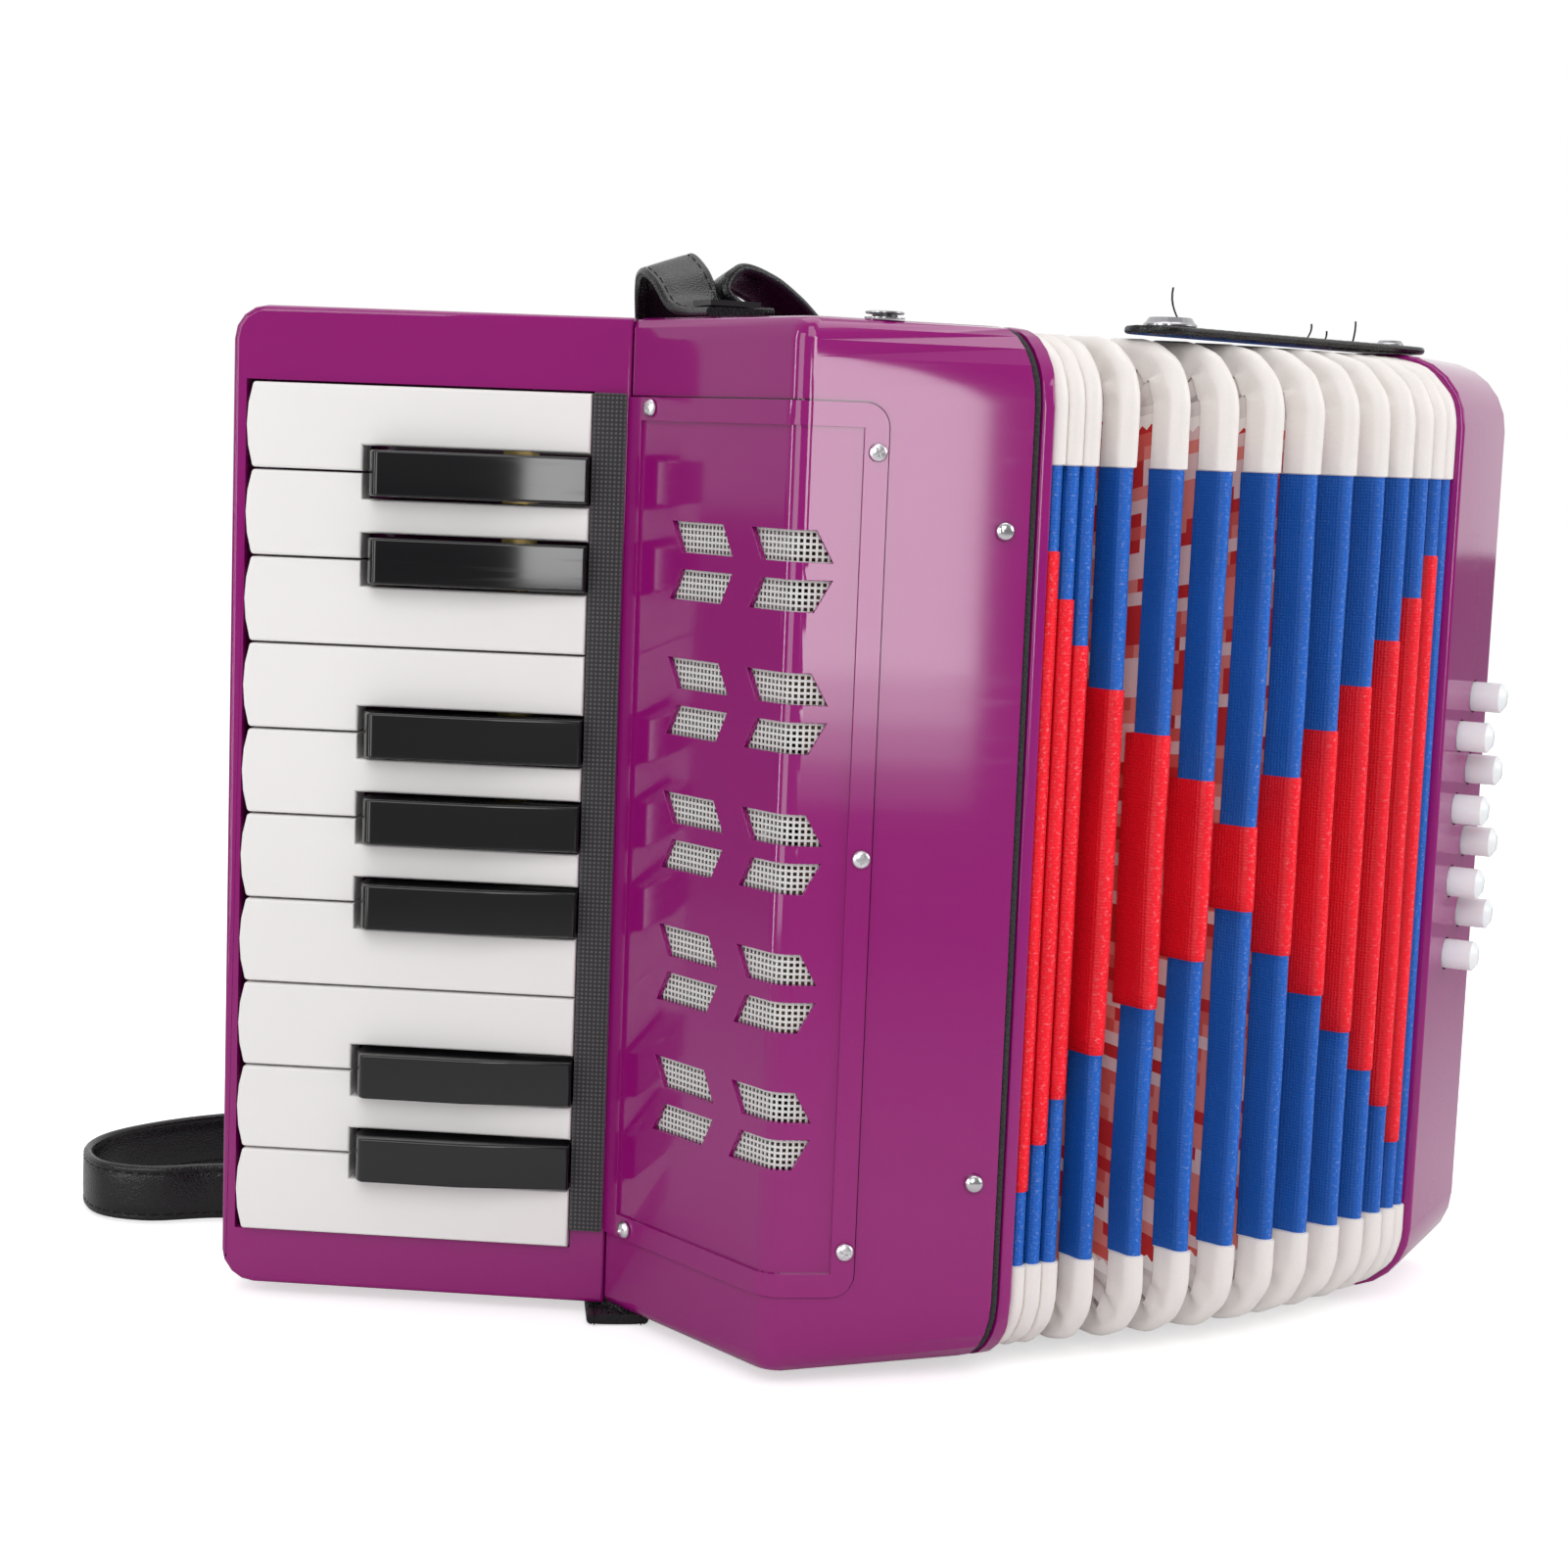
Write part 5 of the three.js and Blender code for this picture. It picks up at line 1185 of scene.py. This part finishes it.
def curve_point(points, t):
    """A point on the smooth curve through the points, spaced by the square roots of their distances."""
    place = (len(points) - 1) * t
    i = min(int(place), len(points) - 2)
    w = place - i
    p1, p2 = points[i], points[i + 1]
    p0 = points[i - 1] if i else p1 * 2 - p2
    p3 = points[i + 2] if i + 2 < len(points) else p2 * 2 - p1
    gaps = [math.sqrt((b - a).length) for a, b in ((p0, p1), (p1, p2), (p2, p3))]
    middle = gaps[1] if gaps[1] > 1e-4 else 1.0
    before = gaps[0] if gaps[0] > 1e-4 else middle
    after = gaps[2] if gaps[2] > 1e-4 else middle
    t1 = ((p1 - p0) / before - (p2 - p0) / (before + middle) + (p2 - p1) / middle) * middle
    t2 = ((p2 - p1) / middle - (p3 - p1) / (middle + after) + (p3 - p2) / after) * middle
    return p1 + t1 * w + (p2 * 3 - p1 * 3 - t1 * 2 - t2) * w * w + (p1 * 2 - p2 * 2 + t1 + t2) * w ** 3


def strap_stations(route, steps):
    """Middle, width direction and face direction at even steps along a strap's route."""
    places = [Vector(at) for at, _ in route]
    widths = [Vector(width) for _, width in route]
    found = []
    for i in range(steps + 1):
        t = i / steps
        at = curve_point(places, t)
        run = (curve_point(places, min(1, t + 1e-4)) - curve_point(places, max(0, t - 1e-4))).normalized()
        wide = curve_point(widths, t)
        wide = (wide - run * wide.dot(run)).normalized()
        found.append((at, wide, run.cross(wide)))
    return found


def strap_section(width, thickness, seam):
    """A strap's cross-section: rounded edges, a slight crown and a groove along each line of stitches."""
    half, thick = width / 2, thickness / 2
    edge = [(half, 0.0), (half - 0.25, thick * 0.62), (half - 0.8, thick * 0.96), (seam + 0.7, thick),
            (seam, thick * 0.8), (seam - 0.7, thick), (seam * 0.5, thick * 1.04), (0.0, thick * 1.06)]
    upper = edge + [(-x, y) for x, y in reversed(edge[:-1])]
    lower = [(x, -y) for x, y in reversed(upper[1:-1])]
    return upper + lower


STRAP_THICKNESS = 2.2
# A stitch: its pitch, length and thread, and its rings, as places along it and shares of the thread
STITCH_PITCH, STITCH_LENGTH, THREAD = 3.1, 2.4, 0.22
STITCH_RINGS = ((-0.5, 0.35), (-0.3, 1), (0.3, 1), (0.5, 0.35))


def belt(name, matrix, stations, section, narrow=lambda at: 1):
    """A strap's skin: its cross-section at each station, as narrow as is asked for there."""
    rings = [[matrix @ (at + wide * x * narrow(at) + thick * y) for x, y in section]
             for at, wide, thick in stations]
    return skins(name, [rings], "strap_leather", 45)


def stitches(name, matrix, stations, seam, lift, body, sides=(1, -1)):
    """Small lozenge stitches along both seams of a strap, on the faces asked for."""
    bundles = []
    for offset in (seam, -seam):
        walked, due = 0.0, STITCH_PITCH / 2
        for (a, wa, ta), (b, wb, tb) in zip(stations, stations[1:]):
            step = (b - a).length
            while step and due <= walked + step:
                f = (due - walked) / step
                at, wide, thick = a.lerp(b, f), wa.lerp(wb, f).normalized(), ta.lerp(tb, f).normalized()
                run = (b - a).normalized() * STITCH_LENGTH
                for side in sides:
                    middle = at + wide * offset + thick * lift * side
                    bundles.append([[matrix @ (middle + run * share + corner * THREAD * scale)
                                     for corner in (thick, wide, -thick, -wide)]
                                    for share, scale in STITCH_RINGS])
                due += STITCH_PITCH
            walked += step
    settle(skins(name, bundles, "strap_thread", 60), body)


class StrapsOperator(bpy.types.Operator):
    """Makes the shoulder strap, the hand strap and the bellows strap with their stitching"""
    bl_idname = "accordion.straps"
    bl_label = "Straps"

    # The hand strap: its ends' distance from the body's, tabs, bow, place, seam and steps
    hand_end, hand_tab, hand_bow, hand_face, hand_seam, hand_steps = 26, 14, 24, 45.3, 13.4, 72
    # The bellows strap: half its width, its far end, its middle's height, its seam and its steps
    flat_half, flat_end, flat_height, flat_seam, flat_steps = 8, 86.3, BODY_HEIGHT + 1.1, 6, 64
    # Loose ends of its thread: place along and across, height, start above the strap, and lean
    loose = ((-76, -3, 7.5, 0.9, (-1.2, 0.6)), (-36, -5, 3.2, 0, (1.4, 0.5)),
             (-20, -5, 4.5, 0, (-0.6, -0.8)), (-19, 4, 2.6, 0, (0.9, 0.3)))
    loose_rings, loose_sides = 7, 5

    def execute(self, context):
        self.shoulder()
        self.hand()
        self.bellows()
        self.loose_ends()
        return {"FINISHED"}

    def shoulder(self):
        route, curl = strap_stations(SHOULDER_ROUTE, 240), strap_stations(CURL_ROUTE, 60)
        for name, stations, width, seam in (("shoulder_strap_belt", route, 14, 5.2),
                                            ("shoulder_strap_end", curl, 11.2, 4.0)):
            piece = belt(name, CASE, stations, strap_section(width, STRAP_THICKNESS, seam))
            settle(piece, "treble_side", ["shoulder_strap"])
        stitches("shoulder_strap_stitches", CASE, route, 5.2, 0.9, "treble_side")
        stitches("shoulder_end_stitches", CASE, curl, 4.0, 0.9, "treble_side")

    def hand(self):
        low, high = self.hand_end, BODY_HEIGHT - self.hand_end
        run = high - low - self.hand_tab * 2
        wide = Vector((0, 1, 0))

        def out(z):
            share = min(max((z - low - self.hand_tab) / run, 0), 1)
            return self.hand_face + self.hand_bow * math.sin(math.pi * share) ** 0.8

        stations = []
        for i in range(self.hand_steps + 1):
            z = low + (high - low) * i / self.hand_steps
            along = Vector((out(z + 0.2) - out(z - 0.2), 0, 0.4)).normalized()
            stations.append((Vector((out(z), FRAME_DEPTH / 2, z)), wide, along.cross(wide)))
        piece = belt("hand_strap_belt", BASS, stations, strap_section(32, STRAP_THICKNESS, self.hand_seam))
        settle(piece, "bass_side", ["hand_strap"])
        stitches("hand_strap_stitches", BASS, stations, self.hand_seam, 1.0, "bass_side")

    def bellows(self):
        """A flat strip with round ends."""
        half, end = self.flat_half, self.flat_end
        wide, thick = Vector((0, 1, 0)), Vector((0, 0, 1))
        places = [half - (half + end) * i / self.flat_steps for i in range(self.flat_steps + 1)]
        stations = [(Vector((x, 0, self.flat_height)), wide, thick) for x in places]

        def narrow(at):
            near = min(half - at.x, at.x + end)
            return math.sqrt(max(0.02, 1 - (1 - min(near / half, 1)) ** 2))

        section = strap_section(half * 2, 1.6, self.flat_seam)
        piece = belt("bellows_strap_belt", BELLOWS_STRAP, stations, section, narrow)
        settle(piece, "bellows_strap_body", ["bellows_strap"])
        stitches("bellows_strap_stitches", BELLOWS_STRAP, stations[5:-5], self.flat_seam, 0.66,
                 "bellows_strap_body", (1,))

    def loose_ends(self):
        """Ends of stitching thread that stand up from the bellows strap."""
        top = self.flat_height + 0.8
        angles = [math.tau * corner / self.loose_sides for corner in range(self.loose_sides)]
        section = [Vector((math.cos(a), math.sin(a), 0)) * THREAD for a in angles]
        bundles = []
        for x, y, tall, lift, lean in self.loose:
            rings = []
            for k in range(self.loose_rings):
                share = k / (self.loose_rings - 1)
                sway = share + math.sin(share * 2.6) * 0.9
                at = Vector((x + lean[0] * sway, y + lean[1] * sway, top + lift + tall * share))
                rings.append([BELLOWS_STRAP @ (at + corner) for corner in section])
            bundles.append(rings)
        settle(skins("stitch_ends", bundles, "strap_thread", 60), "bellows_strap_body")


# Fasteners: each head's outline as radii and heights

SCREW_HEAD = ((0.0, 0.0), (1.9, 0.0), (1.9, 0.22), (1.72, 0.55), (1.35, 0.82), (0.8, 0.97), (0.0, 1.0))
PIN_HEAD = ((0.0, 0.0), (2.0, 0.0), (2.05, 0.25), (1.9, 0.75), (1.5, 1.2), (0.95, 1.5), (0.45, 1.6),
            (0.0, 1.62))
RIVET_HEAD = ((0.0, 0.0), (3.2, 0.0), (3.2, 0.2), (2.7, 0.6), (1.6, 0.92), (0.0, 1.0))
CAP_HEAD = ((0.0, 0.0), (5.8, 0.0), (5.8, 0.35), (5.45, 0.7), (4.9, 0.8), (4.4, 1.25), (2.6, 1.7),
            (0.0, 1.8))
STUD_SHARES = ((0.0, 0.0), (1.0, 0.0), (1.0, 0.16), (0.66, 0.24), (0.6, 0.52), (0.9, 0.6), (0.96, 0.72),
               (0.96, 0.9), (0.86, 1.0), (0.5, 1.0), (0.42, 0.6), (0.0, 0.6))


def lathed(name, outline, label, steps=36, matrix=Matrix()):
    """A turned part: its outline of radii and heights, spun about the upright axis and put in its place."""
    mesh = bpy.data.meshes.new(name)
    edges = [(i, i + 1) for i in range(len(outline) - 1)]
    mesh.from_pydata([(r * MM, 0, z * MM) for r, z in outline], edges, [])
    mesh.materials.append(finish(label))
    piece = linked(name, mesh)
    edited(piece, ("spin", {"steps": steps, "angle": math.tau, "center": (0, 0, 0), "axis": (0, 0, 1)}),
           ("select_all", {"action": "SELECT"}), ("remove_doubles", {"threshold": 2e-6}),
           ("normals_make_consistent", {"inside": False}))
    mesh.transform(matrix)
    return piece


def head_place(node, outward, height):
    """Where a fastener's head sits on its node's wall, with the head's own Z along the wall's outward."""
    points = [v.co for v in frame["nodes"][node].data.vertices]
    reach = max(p.dot(outward) for p in points)
    top = [p for p in points if p.dot(outward) > reach - 0.0012]
    middle = Vector([(min(p[i] for p in top) + max(p[i] for p in top)) / 2 for i in range(3)])
    base = middle + outward * (reach - height * MM - middle.dot(outward))
    turned = outward.to_track_quat("Z", "Y").to_matrix().to_4x4()
    return Matrix.Translation(base) @ turned


class FastenersOperator(bpy.types.Operator):
    """Makes the screws with crossed slots, the domed pins, the snap and the rivets"""
    bl_idname = "accordion.fasteners"
    bl_label = "Fasteners"

    # How much further each screw is turned than the last, and the corners of its slot
    screw_turn = math.radians(23)
    slot_low, slot_high = Vector((-1.15, -0.25, 0.45)), Vector((1.15, 0.25, 1.35))

    def execute(self, context):
        self.make_heads(self.screw_model(), "grille_screw_", 1.0, 40, self.screw_turn)
        self.make_heads(lathed("pin_model", PIN_HEAD, "chrome"), "case_pin_", 1.6, 50, 0)
        self.make_snap()
        dress("chrome", "key_axle")
        dress("anchor_black", "strap_anchor_top")
        return {"FINISHED"}

    def make_heads(self, model, start, height, degrees, turn):
        """A copy of the model on the wall of each node, each turned further about its own axis."""
        for i, node in enumerate(nodes_of(start), 1):
            place = head_place(node, self.outward_of(node), height) @ Matrix.Rotation(turn * i, 4, "Z")
            piece = copied(model, node + "_head", place)
            smooth(piece, degrees)
            settle(piece, "treble_side", [node])
        bpy.data.objects.remove(model)

    def outward_of(self, node):
        """The outward direction of a fastener's wall: the case front, its back or the grille face."""
        low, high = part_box(node)
        middle = CASE.inverted() @ ((low + high) / 2)
        if middle.y > FRAME_DEPTH * 0.8:
            case_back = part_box("treble_case")[1].y
            return Vector((0, 1, 0)) if abs(high.y - case_back) < 0.003 else self.back_way(node)
        angle = CASE_FRONT_ANGLE if middle.x > RIDGE.x + 4 else GRILLE_ANGLE
        return Vector((math.sin(angle), -math.cos(angle), 0))

    def back_way(self, node):
        """The direction across a back wall's pin: its head's widest ring is square to it."""
        upright = [face for face in frame["nodes"][node].data.polygons if abs(face.normal.z) < 0.01]
        return max(upright, key=lambda face: face.area).normal.copy()

    def screw_model(self):
        model = lathed("screw_model", SCREW_HEAD, "screw_steel", 32)
        slot = block(Matrix.Scale(MM, 4), self.slot_low, self.slot_high)
        # The slot cutter gets dark steel, painted shade for the crossed recess.
        slot.data.materials.append(finish("dark_slot"))
        crossed = copied(slot, "second_slot", Matrix.Rotation(math.radians(90), 4, "Z"))
        for piece in (slot, crossed):
            cut(model, piece)
            bpy.data.objects.remove(piece)
        return model

    def make_snap(self):
        low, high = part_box("snap_stud")
        radius, height = (high.x - low.x) / 2 / MM, (high.z - low.z) / MM
        shape = [(r * radius, z * height) for r, z in STUD_SHARES]
        at = Matrix.Translation(((low.x + high.x) / 2, (low.y + high.y) / 2, low.z))
        stud = lathed("snap_stud_ring", shape, "snap_steel", 40, at)
        smooth(stud, 40)
        settle(stud, "treble_side", ["snap_stud"])
        for node, shape, name in (("snap_cap", CAP_HEAD, "snap_cap_dome"),
                                  ("strap_rivet", RIVET_HEAD, "rivet_dome")):
            low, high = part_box(node)
            place = Vector(((low.x + high.x) / 2, (low.y + high.y) / 2, high.z - shape[-1][1] * MM))
            piece = lathed(name, shape, "snap_steel", 48, Matrix.Translation(place))
            smooth(piece, 40)
            settle(piece, "bellows_strap_body")
        dress("snap_steel", "snap_cap", "strap_rivet")


# Inside

# A comb's leaves: the nodes they bear on, their place, the box in plan that holds one, and its tip and root
COMBS = {
    "key_spring_comb": (("white_key_", "black_key_"), KEYBOARD, (37, 0), (58, 17), (38, 0), (58, 0)),
    "bass_spring_comb": (("bass_button_",), BASS, (0, 23), (40, 36.8), (20, 24.3), (20, 36.8)),
}
# Half the height of the box that holds a leaf
LEAF_REACH = 2.5


class InsideOperator(bpy.types.Operator):
    """Gives the boards, reed blocks and springs inside their finishes, and makes the bass buttons"""
    bl_idname = "accordion.inside"
    bl_label = "Inside and buttons"

    def execute(self, context):
        dress("board_wood", "treble_soundboard", "treble_reed_block", "bass_soundboard", "bass_reed_block",
              "bass_bellows_frame")
        for comb, row in COMBS.items():
            self.part_leaves(comb, *row)
        for node in nodes_of("bass_button_"):
            refined(node, "button_white")
        return {"FINISHED"}

    def part_leaves(self, comb, starts, matrix, low, high, tip, root):
        """Parts a comb's leaves from its strip, one for each key or button."""
        strip = refined(comb, "brass")
        for node in nodes_of(*starts):
            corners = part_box(node)
            level = (matrix.inverted() @ ((corners[0] + corners[1]) / 2)).z
            cutter = block(matrix, Vector((*low, level - LEAF_REACH)), Vector((*high, level + LEAF_REACH)))
            leaf = copied(strip, node + "_spring")
            cut(leaf, cutter, "INTERSECT")
            cut(strip, cutter)
            bpy.data.objects.remove(cutter)
            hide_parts(comb)
            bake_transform(leaf)


class AccordionPanel(bpy.types.Panel):
    """Lists the accordion's pieces in the sidebar"""
    bl_idname = "VIEW3D_PT_accordion"
    bl_label = "Piano accordion"
    bl_space_type = "VIEW_3D"
    bl_region_type = "UI"
    bl_category = "Accordion"

    def draw(self, context):
        for name in STEPS:
            self.layout.operator("accordion." + name)


STEPS = ("studio", "shells", "keys", "bellows", "trim", "straps", "fasteners", "inside")
CLASSES = (FinishSettings, BellowsSettings, StageSettings, StudioOperator, ShellsOperator, KeysOperator,
           BellowsOperator, TrimOperator, StrapsOperator, FastenersOperator, InsideOperator, AccordionPanel)


def register():
    for cls in CLASSES:
        bpy.utils.register_class(cls)
    bpy.types.Scene.accordion_finish = bpy.props.PointerProperty(type=FinishSettings)
    bpy.types.Scene.accordion_bellows = bpy.props.PointerProperty(type=BellowsSettings)
    bpy.types.Scene.accordion_stage = bpy.props.PointerProperty(type=StageSettings)


def unregister():
    del bpy.types.Scene.accordion_finish, bpy.types.Scene.accordion_bellows, bpy.types.Scene.accordion_stage
    for cls in reversed(CLASSES):
        bpy.utils.unregister_class(cls)


def main():
    register()
    for name in STEPS:
        getattr(bpy.ops.accordion, name)()
    bpy.context.view_layer.update()


if __name__ == "__main__":
    main()
